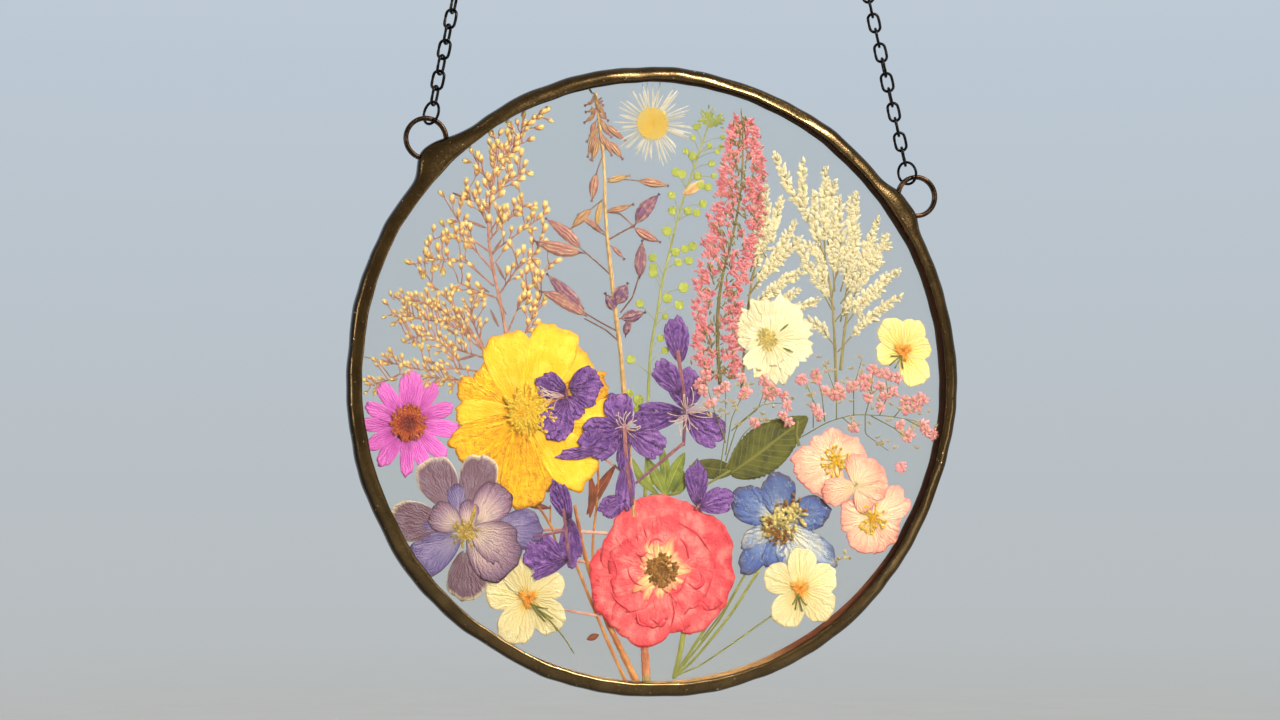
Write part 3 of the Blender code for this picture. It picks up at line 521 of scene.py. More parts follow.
solder_finish = solder_material()
ring_finish = patina_metal("ring bronze", rgb(0.04, 0.026, 0.017), rgb(0.24, 0.13, 0.08), 3.0, 0.6, 0.18)
chain_finish = patina_metal("chain black", rgb(0.018, 0.018, 0.02), rgb(0.12, 0.11, 0.1), 2.5, 0.45, 0.16)
print("metals", [m.name for m in (solder_finish, ring_finish, chain_finish)])

# %% [markdown]
# ## The two glass discs
#
# Each disc is 2 mm window glass, cut round and ground at its edge so that the foil sticks. A plain
# cylinder would have a knife edge, so the disc is a bevelled profile turned about its axis. It casts
# no shadow, because a thin pane hardly dims the light on the flowers.

# %% Glass
PANE_RADIUS, PANE_BEVEL = 99.9, 0.35
GLASS_TINT, GLASS_IOR = rgb(0.985, 0.995, 0.99), 1.5


def pane(near, far):
    """A disc between two depths: circles from the middle of one face over the bevelled edge to the
    middle of the other."""
    inner = np.linspace(0.02, 1, 6) * (PANE_RADIUS - PANE_BEVEL)
    radii = np.r_[inner, PANE_RADIUS, PANE_RADIUS, inner[::-1]]
    depths = np.r_[np.full(6, near), near + PANE_BEVEL, far - PANE_BEVEL, np.full(6, far)]
    return turned(radii, depths, circle(240), closed=False)


clear_glass, glass_tree = new_material("clear glass")
clothe(glass_tree, {"Base Color": GLASS_TINT, "Roughness": 0.0, "IOR": GLASS_IOR,
    "Transmission Weight": 1.0})
for node in ("front_glass", "back_glass"):
    low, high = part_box(node)
    disc = Pile()
    disc.put(pane(low.y / MM, high.y / MM), sharp=True)
    piece = disc.finish(node.replace("_glass", "_pane"), [clear_glass], "panel", "clear_glass", node)
    piece.visible_shadow = False

# %% [markdown]
# ## Copper foil
#
# Thin copper tape wraps both edges and folds over onto both faces, and its underside shows through
# the glass as a bright line. It was wrapped by hand, so the back fold is widest at the bottom: the
# section's inner radius changes with the angle.

# %% Foil
FOIL_WALL, FOIL_DEPTH, FOIL_THICKNESS = 100.15, 3.22, 0.12
FOIL_FRONT_RADIUS, FOIL_BACK_RADIUS = 98.6, 97.8
# how much wider the back fold gets, and how far from straight down it is widest
FOIL_ECCENTRIC, FOIL_LEAN = 0.9, 0.35
FOIL_SEGMENTS = 480
# the copper's painted light: dark as in shade, and golden as in sunlight from the first height below the
# middle to the second
COPPER_SHADED, COPPER_SUNLIT, COPPER_STAIN = rgb(0.26, 0.085, 0.045), rgb(0.82, 0.5, 0.22), rgb(0.2, 0.07, 0.03)
SUNLIT_START, SUNLIT_FULL = 85 * MM, 97 * MM


def waves(turn, counts, amplitude, seed):
    """A line that wanders as it goes round: sine waves with whole numbers of periods, the long ones
    the strongest, each started at a random place."""
    random = dice(seed)
    total = np.zeros_like(turn)
    for count in counts:
        total += np.sin(count * turn + random.uniform(0, TURN)) / math.sqrt(count)
    return amplitude * total / math.sqrt(sum(1 / count for count in counts))


def foil():
    """The tape's U-shaped section, as a thin loop of points (radius, depth), at every angle."""
    turn = circle(FOIL_SEGMENTS)
    low = np.clip(-np.sin(turn - FOIL_LEAN), 0, 1) ** 1.5
    back = FOIL_BACK_RADIUS - FOIL_ECCENTRIC * low + waves(turn, (3, 7, 16, 31), 0.12, 5)
    front = FOIL_FRONT_RADIUS + waves(turn, (4, 9, 19, 37), 0.06, 6)
    inside = np.full(FOIL_SEGMENTS, FOIL_WALL)
    wall, face, outside = inside + FOIL_THICKNESS, FOIL_DEPTH, FOIL_DEPTH + FOIL_THICKNESS
    radii = [front, inside, inside, back, back, wall, wall, front]
    depths = [-face, -face, face, face, outside, outside, -outside, -outside]
    return turned(radii, depths, turn)


def copper_material():
    """Copper painted dark as if shaded and golden low down as if sunlit, stained dark red in patches by
    patina.
    """
    made, tree = new_material("copper tape")
    place = add(tree, "TexCoord").outputs["Object"]
    rub = use_group(tree, rubbed, {"Position": place, "Patch size": 5.0, "Amount": 0.6})
    height = add(tree, "SeparateXYZ", {0: place}).outputs["Z"]
    # painted sunlight: the copper turns golden towards the bottom
    low = rise(tree, height, CENTRE[2] - SUNLIT_START, CENTRE[2] - SUNLIT_FULL)
    metal = mix(tree, low, COPPER_SHADED, COPPER_SUNLIT)
    stained = mix(tree, rub["Wear"], metal, mix(tree, 0.45, metal, COPPER_STAIN))
    clothe(tree, {"Base Color": stained, "Roughness": times(tree, rub["Grain"], GRAIN_ROUGHNESS, 0.2),
        "Metallic": 1.0, "Normal": bumps(tree, rub["Grain"], 0.5, 1.5 * GRAIN_DEPTH)})
    return made


tape = Pile()
tape.put(foil(), sharp=True)
tape.finish("copper_tape", [copper_material()], "panel", "copper_foil", "copper_foil")

# %% [markdown]
# ## The solder bead
#
# Solder was run over the foil with an iron, so the bead is rounded but never even: it has low lumps, a
# wandering inner edge and two mounds that hold the rings. A torus with a bump map would miss them in
# the outline, so every point of the bead's section is pushed out by a wandering amount.

# %% Solder bead
BEAD_INNER, BEAD_OUTER, BEAD_HALF_DEPTH = 97.6, 102.2, 4.2
BEAD_SQUARENESS = 0.75
POCKET_RADIUS, POCKET_HALF_DEPTH = 100.5, 3.45
BEAD_SEGMENTS, BEAD_ARC = 720, 30
# the lumps are waves: how many round the bead, from which number on they are fine, and their heights
LUMP_WAVES, FINE_LUMPS, LUMP_HEIGHT, FINE_HEIGHT = (4, 7, 13, 22, 35, 52, 78), 30, 0.165, 0.0715
MOUND_SMOOTHING = 14
# each mound as heights over the bead at places round it, in millimetres from its ring's spoke
MOUNDS = (
    (135.0, (-14, -9, -5.5, -2.5, 1.5, 4, 6, 7.6, 9.5, 12), (0, 0.5, 2.0, 3.3, 4.3, 5.2, 5.0, 2.8, 0.6, 0)),
    (35.0, (-12, -8, -6, -3, 1.5, 4.5, 7, 10.5), (0, 0.8, 2.8, 2.9, 2.2, 2.7, 1.3, 0)),
)


def solder_bead():
    """The outer line of the section is a squarish half ellipse. Round it, each point moves along the
    line's own normal by slow waves. At the mounds it moves out by their smoothed height as well."""
    turn = circle(BEAD_SEGMENTS)
    around, angle = np.meshgrid(turn, np.linspace(-np.pi / 2, np.pi / 2, BEAD_ARC))
    inner = BEAD_INNER + waves(turn, (5, 11, 23, 41, 67), 0.22, 11) - 0.15
    reach = np.abs(np.cos(angle)) ** BEAD_SQUARENESS
    deep = np.sign(np.sin(angle)) * np.abs(np.sin(angle)) ** BEAD_SQUARENESS
    lumps = np.zeros_like(around)
    random = dice(12)
    for count in LUMP_WAVES:
        lean, start = random.uniform(-1.5, 1.5), random.uniform(0, TURN)
        high = LUMP_HEIGHT if count < FINE_LUMPS else FINE_HEIGHT
        lumps += np.sin(count * around + lean * angle + start) * high / math.sqrt(count / 6)
    radius = inner + (BEAD_OUTER - BEAD_INNER) * reach + lumps * np.cos(angle)
    depth = BEAD_HALF_DEPTH * deep + lumps * np.sin(angle) * np.clip(reach * 2, 0, 1)
    for ring_angle, places, heights in MOUNDS:
        away = (turn - math.radians(ring_angle) + np.pi) % TURN - np.pi
        height = np.interp(away * BEAD_OUTER, places, heights)
        for _ in range(MOUND_SMOOTHING):
            height = (np.roll(height, 1) + 2 * height + np.roll(height, -1)) / 4
        radius += height * np.clip(np.cos(angle), 0, 1) ** 0.9
    same, edge, floor_depth = np.ones_like(turn), BEAD_HALF_DEPTH - 0.28, POCKET_HALF_DEPTH
    lip = inner - 0.12
    pocket = [(lip + 0.02, edge), (lip + 0.12, floor_depth), (POCKET_RADIUS * same, floor_depth)]
    pocket += [(reach_in, -deep_in) for reach_in, deep_in in pocket[::-1]]
    radius = np.concatenate([radius, [r for r, _ in pocket]])
    depth = np.concatenate([depth, [d * same for _, d in pocket]])
    points, quads, uv = turned(radius, depth, turn)
    row = np.arange(len(quads)) // BEAD_SEGMENTS
    return points, quads, uv, (row > BEAD_ARC) & (row < BEAD_ARC + 4)


bead = Pile()
bead.put(solder_bead())
bead.finish("solder_bead", [solder_finish], "panel", "solder", "solder_rim")

# %% [markdown]
# ## Rings and chain
#
# Each soldered ring is a flat spring ring of two turns side by side, so a fine groove runs round it.
# The links are round wire bent to an oval, with a fine nick where its ends butt together.

# %% Ring and loop forms
RING_RADIUS, RING_WALL, RING_SECTION, RING_HALF_DEPTH = 6.8, 1.15, 1.55, 1.2
RING_DISTANCE = 108.3
GROOVE_DEPTH, GROOVE_WIDTH = 0.16, 0.09
NICK_SHARE, NICK_WIDTH, WIRE_SIDES = 0.14, 0.05, 12
CONNECTOR_RADIUS, CONNECTOR_WIRE = 4.1, 0.9
LINK_LENGTH, LINK_WIDTH, LINK_WIRE, LINK_GAP = 7.1, 4.6, 0.95, 0.15
CONNECTOR_PLAY = 0.45
END_RING_RADIUS, END_RING_WIRE = 6.0, 1.2


def spring_ring(x, z):
    """A flat band's section carried round a circle: rounded corners, and a fine groove in the middle
    of its outer and inner faces where its two turns meet. Its inner face keeps the solid's radius."""
    section = circle(40)
    across = np.sign(np.cos(section)) * np.abs(np.cos(section)) ** 0.7
    deep = np.sign(np.sin(section)) * np.abs(np.sin(section)) ** 0.7
    groove = GROOVE_DEPTH * np.exp(-(deep / GROOVE_WIDTH) ** 2)
    radii = RING_RADIUS - RING_WALL + RING_SECTION / 2 + 0.03 + (RING_SECTION / 2 - groove) * across
    return turned(radii, RING_HALF_DEPTH * deep, circle(120), middle=(x, z))


def wire_loop(length, width, wire, count=56):
    """Round wire along an oval, two half circles joined by nearly straight sides. It narrows for a
    hair's breadth at the middle of one side, where its ends butt together."""
    turn = circle(count)
    bend = (width - wire) / 2
    straight = (length - width) / 2 * np.clip(3 * np.sin(turn), -1, 1)
    path = np.column_stack([bend * np.cos(turn), np.zeros(count), bend * np.sin(turn) + straight])
    nick = NICK_SHARE * np.exp(-((turn - np.pi) / NICK_WIDTH) ** 2)
    return tube(path, wire / 2 * (1 - nick), WIRE_SIDES, closed=True)

# %% [markdown]
# The links could be set one by one by hand. A loop sets them instead, because the plain solids that
# they lie on follow from a few sizes too: the pitch, each chain's lean and each link's turn.

# %% Chain
# side: ring angle, contact angle, lean, links, connector's turn, odd and even links' turns
CHAINS = {
    "left": (135.0, 11.4, 11.4, 7, -61.0, (57.0, -30.0)),
    "right": (35.0, -26.0, -13.0, 12, -58.0, (72.0, -12.0)),
}
LINK_SWAY = 5.0


def placed(form, contact, lean, distance, turn):
    """The form turned about its own long axis, then set this far up the leaning chain."""
    points, quads, uv = form
    lean_angle, turn_angle = math.radians(lean), math.radians(turn)
    up = np.array([math.sin(lean_angle), 0.0, math.cos(lean_angle)])
    rotation = Matrix.Rotation(lean_angle, 3, "Y") @ Matrix.Rotation(turn_angle, 3, "Z")
    return points @ np.array(rotation).T + contact + up * distance, quads, uv


def hang(name, node, *place):
    """One ring or link of the chain as a piece of its own, on the hanger."""
    link = Pile()
    link.put(placed(*place))
    link.finish(name, [chain_finish], "hanger", "chain_black", node)


connector = wire_loop(2 * CONNECTOR_RADIUS, 2 * CONNECTOR_RADIUS, CONNECTOR_WIRE)
chain_link = wire_loop(LINK_LENGTH, LINK_WIDTH, LINK_WIRE, 40)
end_ring = wire_loop(2 * END_RING_RADIUS, 2 * END_RING_RADIUS, END_RING_WIRE, 72)
for side, (ring_angle, contact_angle, lean, links, connector_turn, turns) in CHAINS.items():
    spoke, touch = math.radians(ring_angle), math.radians(contact_angle)
    ring_x, ring_z = RING_DISTANCE * math.cos(spoke), RING_DISTANCE * math.sin(spoke)
    ring = Pile()
    ring.put(spring_ring(ring_x, ring_z))
    ring.finish(f"{side}_spring_ring", [ring_finish], "panel", "ring_bronze", f"{side}_soldered_ring")

    middle = RING_RADIUS - RING_WALL / 2
    contact = np.array([ring_x + middle * math.sin(touch), 0.0, ring_z + middle * math.cos(touch)])
    distance = CONNECTOR_RADIUS - CONNECTOR_WIRE - RING_WALL / 2 - CONNECTOR_PLAY
    hang(f"{side}_round_ring", f"{side}_connecting_ring", connector, contact, lean, distance,
        connector_turn)
    reach, pitch = (LINK_LENGTH - LINK_WIRE) / 2, LINK_LENGTH - 2 * LINK_WIRE - LINK_GAP
    distance += CONNECTOR_RADIUS - CONNECTOR_WIRE - LINK_GAP - LINK_WIRE / 2 + reach
    for number in range(links):
        sway = LINK_SWAY * math.sin(2.3 * number)
        hang(f"{side}_chain_link_{number + 1}", f"{side}_link_{number + 1}", chain_link, contact, lean,
            distance, turns[number % 2] + sway)
        distance += pitch
    distance += reach - pitch - LINK_WIRE / 2 - LINK_GAP + END_RING_RADIUS - END_RING_WIRE
    hang(f"{side}_hanging_ring", f"{side}_end_ring", end_ring, contact, lean, distance, turns[links % 2])

# %% [markdown]
# ## Pressed petals
#
# A petal is a thin sheet that fans out from its foot. Two numbers place each point of it: which ray
# from foot to margin it lies on, and how far along. The margin is an egg shape with a notch, a point
# or a ragged edge, and the depth adds folds along the rays, a ruffle and wrinkles. The same two
# numbers are the UV map, so the material's veins and margins follow each petal by themselves.

# %% Petal forms
def tint(code):
    """A colour given as six hex digits, turned into the linear value that nodes take."""
    screen = np.array([int(code[i:i + 2], 16) for i in (0, 2, 4)]) / 255
    linear = np.where(screen <= 0.04045, screen / 12.92, ((screen + 0.055) / 1.055) ** 2.4)
    return (*linear.tolist(), 1.0)


def toward(angle):
    """One millimetre's step in each of these directions."""
    return np.stack([np.cos(angle), np.sin(angle)], -1)


def spun(x, z, turn):
    """A flat form turned about its foot."""
    return x * np.cos(turn) - z * np.sin(turn), x * np.sin(turn) + z * np.cos(turn)


def along(line, share):
    """The points of a line at these shares of its length, and in which directions it goes on there."""
    index = np.minimum((share * (len(line) - 1)).astype(int), len(line) - 2)
    ahead = line[index + 1] - line[index]
    return line[index], np.arctan2(ahead[:, 1], ahead[:, 0])


def both_sides(count):
    """1 and -1 in turn, for buds on alternating sides."""
    return np.where(np.arange(count) % 2, 1, -1)


def nearest(line, spot):
    """The point of a line that lies nearest to a spot."""
    return line[np.argmin(np.linalg.norm(line - np.asarray(spot), axis=1))]


def wrinkles(x, z, size, seed):
    """Fine wrinkles: a few plane waves of about this length in millimetres, in random directions."""
    random = dice(seed)
    total, count = np.zeros_like(x), 7
    for _ in range(count):
        direction, start = random.uniform(0, TURN, 2)
        wave = TURN / (size * random.uniform(0.7, 1.6))
        total += np.sin(wave * (x * math.cos(direction) + z * math.sin(direction)) + start)
    return total / math.sqrt(count)


# the rays' share of a full turn, which leaves a slit at the foot, and two sizes in millimetres
PETAL_SPREAD, MARGIN_CURL, WRINKLE_SIZE = 0.94, 0.16, 2.2


def petal(foot, angle, length, width, depth, seed, egg=0.32, notch=0.0, tip=0.0, ragged=0.02, folds=4,
        fold=0.09, ruffle=0.0, crinkle=0.04, bend=0.0, square=1.0, rows=12, columns=36, thickness=0.09):
    """A sheet on rays from its foot. The margin is an ellipse through the foot, wider towards its end
    by the share egg, made squarer by a power below 1, pulled in at the end by notch or out by tip, and
    ragged by small waves. Its depth is folds along the rays, a ruffle that grows towards the margin,
    wrinkles, and a margin that curls back."""
    random = dice(seed)
    ray = np.linspace(-PETAL_SPREAD, PETAL_SPREAD, columns) * np.pi
    reach = 1 - (1 - np.linspace(0.04, 1, rows)) ** 1.25
    edge = 1 - notch * np.exp(-(ray / 0.3) ** 2) + tip * np.exp(-(ray / 0.35) ** 2)
    for count in (5, 9, 14, 23):
        edge += ragged * np.sin(count * ray + random.uniform(0, TURN)) * 2 / math.sqrt(count)
    forward, sideways = np.cos(ray), np.sin(ray)
    out = length / 2 * (1 + np.sign(forward) * np.abs(forward) ** square) * edge
    fuller = 1 + egg * forward
    side = width / 2 * np.sign(sideways) * np.abs(sideways) ** square * fuller * (0.5 + 0.5 * edge)
    x, z = np.outer(reach, out), np.outer(reach, side)
    z = z + bend * (x / length) ** 2
    share = reach[:, None]
    relief = np.zeros_like(x)
    for number in range(1, 4):
        start = random.uniform(0, TURN)
        relief += np.cos(ray * folds * number / 2 + start) * share ** 1.3 * (1 - 0.35 * share) / number
    relief *= fold
    relief += ruffle * share ** 4 * np.sin(7 * ray + random.uniform(0, TURN))
    relief += crinkle * wrinkles(x, z, WRINKLE_SIZE, seed) * np.clip(share * 2, 0, 1)
    relief += MARGIN_CURL * share ** 12
    x, z = spun(x, z, math.radians(angle))
    front = np.stack([foot[0] + x, depth + relief, foot[1] + z], -1)
    uv = np.stack(np.broadcast_arrays(ray[None, :] / TURN + 0.5, share), -1)
    return shell(front, thickness, uv)


def grains(places, angles, lengths, widths, depths, flat=0.5, sides=4, rings=5):
    """Many buds, seeds or anthers at once: each a short flattened strand from its place along its
    angle, whose radius swells and closes again as a half sine wave, made blunter by a power. It is
    the larger the fewer sides there are, so that the body looks as wide as it would round."""
    angles, share = np.atleast_1d(angles), np.linspace(0.0, 1.0, rings)
    count = len(angles)
    places = np.broadcast_to(places, (count, 2))
    heading = np.column_stack([np.cos(angles), np.zeros(count), np.sin(angles)])
    start = np.column_stack([places[:, 0], np.broadcast_to(depths, count), places[:, 1]])
    lengths, widths = (np.broadcast_to(size, count)[:, None] for size in (lengths, widths))
    paths = start[:, None] + heading[:, None] * (share * lengths)[..., None]
    radii = 0.44 * widths / math.cos(math.pi / sides)
    return tubes(paths, radii * np.sin(np.pi * np.clip(share, 0.06, 0.95)) ** 0.6, sides, flat)


def stars(places, sizes, depths, seed, waist, lumps, lobes=4, columns=8):
    """Many small open flowers at once: lens-shaped discs whose outline goes in to the waist between the
    lobes, each turned, pulled narrower and crumpled at random into lumps."""
    random = dice(seed)
    places = np.asarray(places, float).reshape(-1, 2)
    count, turn = len(places), circle(columns)
    reach = np.array([0.15, 0.62, 1.0, 0.62, 0.15])[:, None]
    outline = waist + (1 - waist) * np.abs(np.cos(lobes * turn / 2)) ** 0.7
    radius = reach * (1 + (outline - 1) * reach) * np.reshape(sizes, (-1, 1, 1)) / 2
    radius = radius * (1 + random.uniform(-0.18, 0.18, (count, 1, columns)))
    spin, squeeze = random.uniform(0, TURN, (count, 1, 1)), random.uniform(0.6, 1.0, (count, 1, 1))
    x, z = spun(radius * np.cos(turn), radius * np.sin(turn) * squeeze, spin)
    thick = np.array([-1.0, -0.8, 0.0, 0.8, 1.0])[:, None] * 0.07
    relief = random.uniform(-lumps, lumps, (count, 1, columns)) * reach
    depth = np.broadcast_to(depths, count)[:, None, None] + thick + relief
    points = np.stack([places[:, 0, None, None] + x, depth, places[:, 1, None, None] + z], -1)
    quads = (tube_quads(5, columns) + (np.arange(count) * 5 * columns)[:, None, None]).reshape(-1, 4)
    return points.reshape(-1, 3), quads, np.tile(pairs(turn / TURN, reach), (count, 1))


GOLDEN_ANGLE = 2.4


def spiral_of(foot, count, reach):
    """Places on a sunflower spiral: each a golden angle on from the last, ever closer together."""
    angles = np.arange(count) * GOLDEN_ANGLE
    out = reach * np.sqrt((np.arange(count) + 0.5) / count)
    return foot + toward(angles) * out[:, None], angles


def at_depth(line, depth):
    """A flat line, lifted to this depth between the glass discs."""
    return np.insert(np.asarray(line, float), 1, depth, axis=1)


# stems over this thickness are flat and knotty
KNOTTY = 0.65


def stem(pile, points, thick, thin, depth, kind, count=30):
    """A pressed stem: a smooth tapering line through the points."""
    path, share = at_depth(smooth_path(points, count), depth), np.linspace(0, 1, count)
    flat, sides, knots = (0.45, 8, 0.05) if thick > KNOTTY else (0.85, 6, 0.0)
    uneven = 1 + knots * (np.sin(share * 23 + points[0][0]) + np.sin(share * 51 + points[0][1]))
    pile.put(tube(path, (thick + (thin - thick) * share) / 2 * uneven, sides, flat), kind)


def strands(pile, foot, angles, lengths, thickness, depth, kind, seed, bow=0.35, head=0.0, start=0.0,
        steps=6):
    """Stamens: thin bowed strands from one foot, each with a small anther at its end if head is
    its width. They begin this distance from the foot."""
    random = dice(seed)
    angles, lengths = np.asarray(angles, float)[:, None], np.reshape(lengths, (-1, 1))
    share, count = np.linspace(0, 1, steps), len(angles)
    heading = angles + random.uniform(-bow, bow, (count, 1)) * share
    out = start + (lengths - start) * share
    level = depth + random.uniform(-0.06, 0.06, (count, 1)) + 0 * out
    paths = np.stack([foot[0] + out * np.cos(heading), level, foot[1] + out * np.sin(heading)], -1)
    pile.strew(tubes(paths, thickness * 0.57, 4), count, random, kind)
    if head:
        last = heading[:, -1]
        ends = paths[:, -1, [0, 2]] - 0.3 * head * toward(last)
        turns, long = last + random.uniform(-0.9, 0.9, count), head * random.uniform(1.2, 1.9, count)
        wide = head * random.uniform(0.8, 1.2, count)
        pile.strew(grains(ends, turns, long, wide, depth - 0.06, 0.6), count, random, kind)


# %% [markdown]
# ## Plant finishes
#
# Dried petals are nearly matt, pass some light, and are marked by veins from foot to margin, by
# blotches and by a thin dry edge, which also stands for painted shadow where one petal lies over the
# next. One node group makes those marks from the petal's UV map and its place, and each flower mixes
# its own colours with them.

# %% Plant marks group
marks, entry, leave = new_group("dried plant marks", {"Form": None, "Position": None, "Veins": 12.0,
    "Wander": 1.0, "Blotch size": 3.0, "Edge width": 0.05}, ("Vein", "Edge", "Along", "Blotch", "Relief"))
form = add(marks, "SeparateXYZ", {0: entry["Form"]}).outputs
spot = in_millimetres(marks, entry["Position"])
sway = noise(marks, spot, 0.45)
line = times(marks, sway, entry["Wander"], times(marks, form["X"], entry["Veins"]))
wave = sums(marks, "ABSOLUTE", sums(marks, "SINE", times(marks, line, math.pi)))
vein = rise(marks, wave, 0.32, 0.0)
break_up = noise(marks, spot, 0.9)
marks.links.new(times(marks, vein, rise(marks, break_up, 0.38, 0.6, 1.0, 0.15)), leave["Vein"])
# the edge line is the petal's dry margin and also painted shadow where one petal lies over the next
uneven_width = times(marks, entry["Edge width"], times(marks, break_up, 2.0, 0.2))
edge = rise(marks, form["Y"], sums(marks, "SUBTRACT", 1.0, uneven_width), 1.01)
marks.links.new(edge, leave["Edge"])
marks.links.new(form["Y"], leave["Along"])
blotch = noise(marks, spot, sums(marks, "DIVIDE", 1.0, entry["Blotch size"]), 4.5)
marks.links.new(rise(marks, blotch, 0.42, 0.66), leave["Blotch"])
pleat_line = times(marks, form["X"], 2.7 * math.pi, sway)
pleat = sums(marks, "SINE", times(marks, pleat_line, entry["Veins"]))
hollow = times(marks, vein, -0.5, times(marks, pleat, 0.18))
marks.links.new(times(marks, noise(marks, spot, 2.6, 3.0), 0.5, hollow), leave["Relief"])


PLANT_RELIEF, LEAF_RELIEF = 0.6 * MM, 0.3 * MM


def read_mark(words):
    """A mark written as a few numbers and a colour, such as "12 0.3 947b59"."""
    *numbers, code = words.split()
    return *map(float, numbers), tint(code)


def dried(name, stops, blotch, vein="12 0.3 947b59", edge="0 aa957c", shift="", wander=1.0, tone=0.12,
        roughness=0.5, glow=0.0, relief=0.6, by_tone=False, edge_width=0.045):
    """A dried petal, leaf or bud. stops are its places and colours from foot to margin, or from low to
    high tone with by_tone. blotch is a size in millimetres, a strength and a colour; vein a count, a
    strength and a colour; edge a strength and a colour, for the dry margin that also stands for painted
    shadow where petals overlap. One petal differs from the next by its tone, up to this much in
    brightness, and towards the colour of shift, which is a strength and a colour too."""
    blotch_size, blotch_share, blotch_colour = read_mark(blotch)
    vein_count, vein_share, vein_colour = read_mark(vein)
    edge_and_shadow_share, edge_and_shadow_colour = read_mark(edge)
    made, tree = new_material(name)
    coordinates = add(tree, "TexCoord").outputs
    own = add(tree, "Attribute", None, attribute_name="tone").outputs["Fac"]
    mark = use_group(tree, marks, {"Form": coordinates["UV"], "Position": coordinates["Object"],
        "Veins": vein_count, "Wander": wander, "Blotch size": blotch_size, "Edge width": edge_width})
    words = stops.split()
    colours = [(float(place), tint(code)) for place, code in zip(words[::2], words[1::2])]
    colour = ramp(tree, own if by_tone else mark["Along"], *colours)
    # the edge colour is the dry margin and also painted shadow where petals overlap
    layers = [(mark["Blotch"], blotch_share, blotch_colour), (mark["Vein"], vein_share, vein_colour),
        (mark["Edge"], edge_and_shadow_share, edge_and_shadow_colour)]
    if shift:
        layers.insert(0, (own, *read_mark(shift)))
    for mask, layer_share, layer_colour in layers:
        colour = mix(tree, times(tree, mask, layer_share), colour, layer_colour)
    shade = times(tree, own, 2 * tone, 1 - tone)
    grey = add(tree, "CombineColor", {0: shade, 1: shade, 2: shade}).outputs[0]
    colour = mix(tree, 1.0, colour, grey, "MULTIPLY")
    clothe(tree, {"Base Color": colour, "Roughness": roughness, "Specular IOR Level": 0.35,
        "Normal": bumps(tree, mark["Relief"], relief, PLANT_RELIEF)}, glow)
    return made


# the four depths at which the plants lie, in millimetres behind the middle of the gap
BACK, MID_BACK, MID_FRONT, FRONT = 0.78, 0.26, -0.26, -0.78


def bloom(pile, foot, petals, depth, seed, kind=0, step=0.07, levels=3, **style):
    """Petals round one foot, each (angle, length, width), laid over each other in a few levels."""
    for number, (angle, length, width) in enumerate(petals):
        level = depth + step * (number % levels - (levels - 1) / 2)
        own = seed * 100 + number
        pile.lay(petal(foot, angle, length, width, level, own, **style), kind, own)


def plant(pile, node, finishes, slot=None):
    """A plant piece in place of its plain solid."""
    pile.press()
    return pile.finish(node + "_pressed", finishes, "panel", slot or node, node)


# %% [markdown]
# ## Rose
#
# A single red rose, pressed open. Its ten or so petals overlap so far that they read as one coral
# disc with dark creases, a pale throat and a tuft of brown stamens. So broad petals lie in three
# levels and shorter ones over them, the creases are thin tapered strands, and small pale petals make
# the star of the throat.

# %% Rose
ROSE = (0.5, -61.0)
# The darker band a little past the middle of each petal is painted shadow where inner petals lie over outer
# ones.
rose_finish = dried("rose petal", "0 fcf0aa 0.3 f8c48c 0.42 ea6464 0.6 dc364a 0.85 e84858 1 d82c44",
    "5 0.6 fa9492", vein="16 0.25 b81832", edge="0.45 b01630", shift="0.3 fa7678", wander=2.8, glow=0.16,
    edge_width=0.1, relief=0.5)
rose_fold = dried("rose fold", "0 e0485c 1 cc2c4c", "2 0.5 ee6070", vein="4 0.3 b81838", glow=0.1,
    relief=0.3)
brown_anther = dried("brown anther", "0 966024 1 be8a34", "0.8 0.6 603816", shift="0.6 583012")
throat_star = dried("rose throat", "0 f6e08c 0.5 fce8a0 0.74 f8be8c 1 e85c60", "2.4 0.4 f6aa82",
    vein="5 0.4 e88264", glow=0.15)
# the creases where petals folded over while the rose dried: width, then points on the line
ROSE_CREASES = ((0.7, (-4, -54), (-2.9, -51.4), (-0.9, -50.6), (1.4, -52.4)),
    (0.9, (-4, -55), (-6.2, -56.4), (-8, -55.6)), (0.6, (-10.8, -59), (-10.4, -62.6), (-8, -65.4),
    (-4.6, -66.4)), (1.3, (13, -61), (15, -64.6), (12.2, -67.4), (9.6, -65.4)),
    (0.9, (6.4, -50.4), (9.2, -53.4), (9.6, -57.6)), (0.6, (-8, -74), (-7.2, -78), (-3.8, -79.2)),
    (0.9, (-3, -76.4), (-0.6, -78.2), (1.6, -75.8)), (0.5, (-17.4, -66), (-14, -71.4), (-9, -74.6)),
    (0.6, (2.4, -69.4), (7.2, -67.4), (9.2, -62)), (0.5, (4, -44.6), (12.6, -49), (17.6, -56.4)),
    (0.4, (-2.6, -45), (-2.2, -49)), (0.4, (-5.6, -46.6), (-4.2, -51)), (0.5, (-16, -56), (-14, -61),
    (-15.6, -65.6)), (0.4, (3.8, -70), (5, -75), (3.4, -80)), (0.4, (18, -62), (16, -68.6), (11, -72.4)))
rose = Pile()
bloom(rose, ROSE, [(104, 24.5, 24), (62, 23.5, 22), (27, 25.5, 22), (-8, 24.5, 22), (-40, 24.5, 22),
    (-76, 21, 22), (-112, 25.5, 20), (-146, 25, 20), (-176, 24, 18), (146, 21.5, 20)], MID_FRONT + 0.1, 1,
    ragged=0.014, fold=0.15, ruffle=0.07, rows=14, columns=48)
bloom(rose, ROSE, [(92, 17.5, 15), (48, 17, 14), (8, 18, 14), (-30, 17.5, 13), (-68, 16.5, 13),
    (-105, 19, 13), (-148, 18, 14), (168, 18, 14), (130, 16, 12)], MID_FRONT - 0.1, 2, egg=0.4, folds=5,
    fold=0.15, ruffle=0.06)
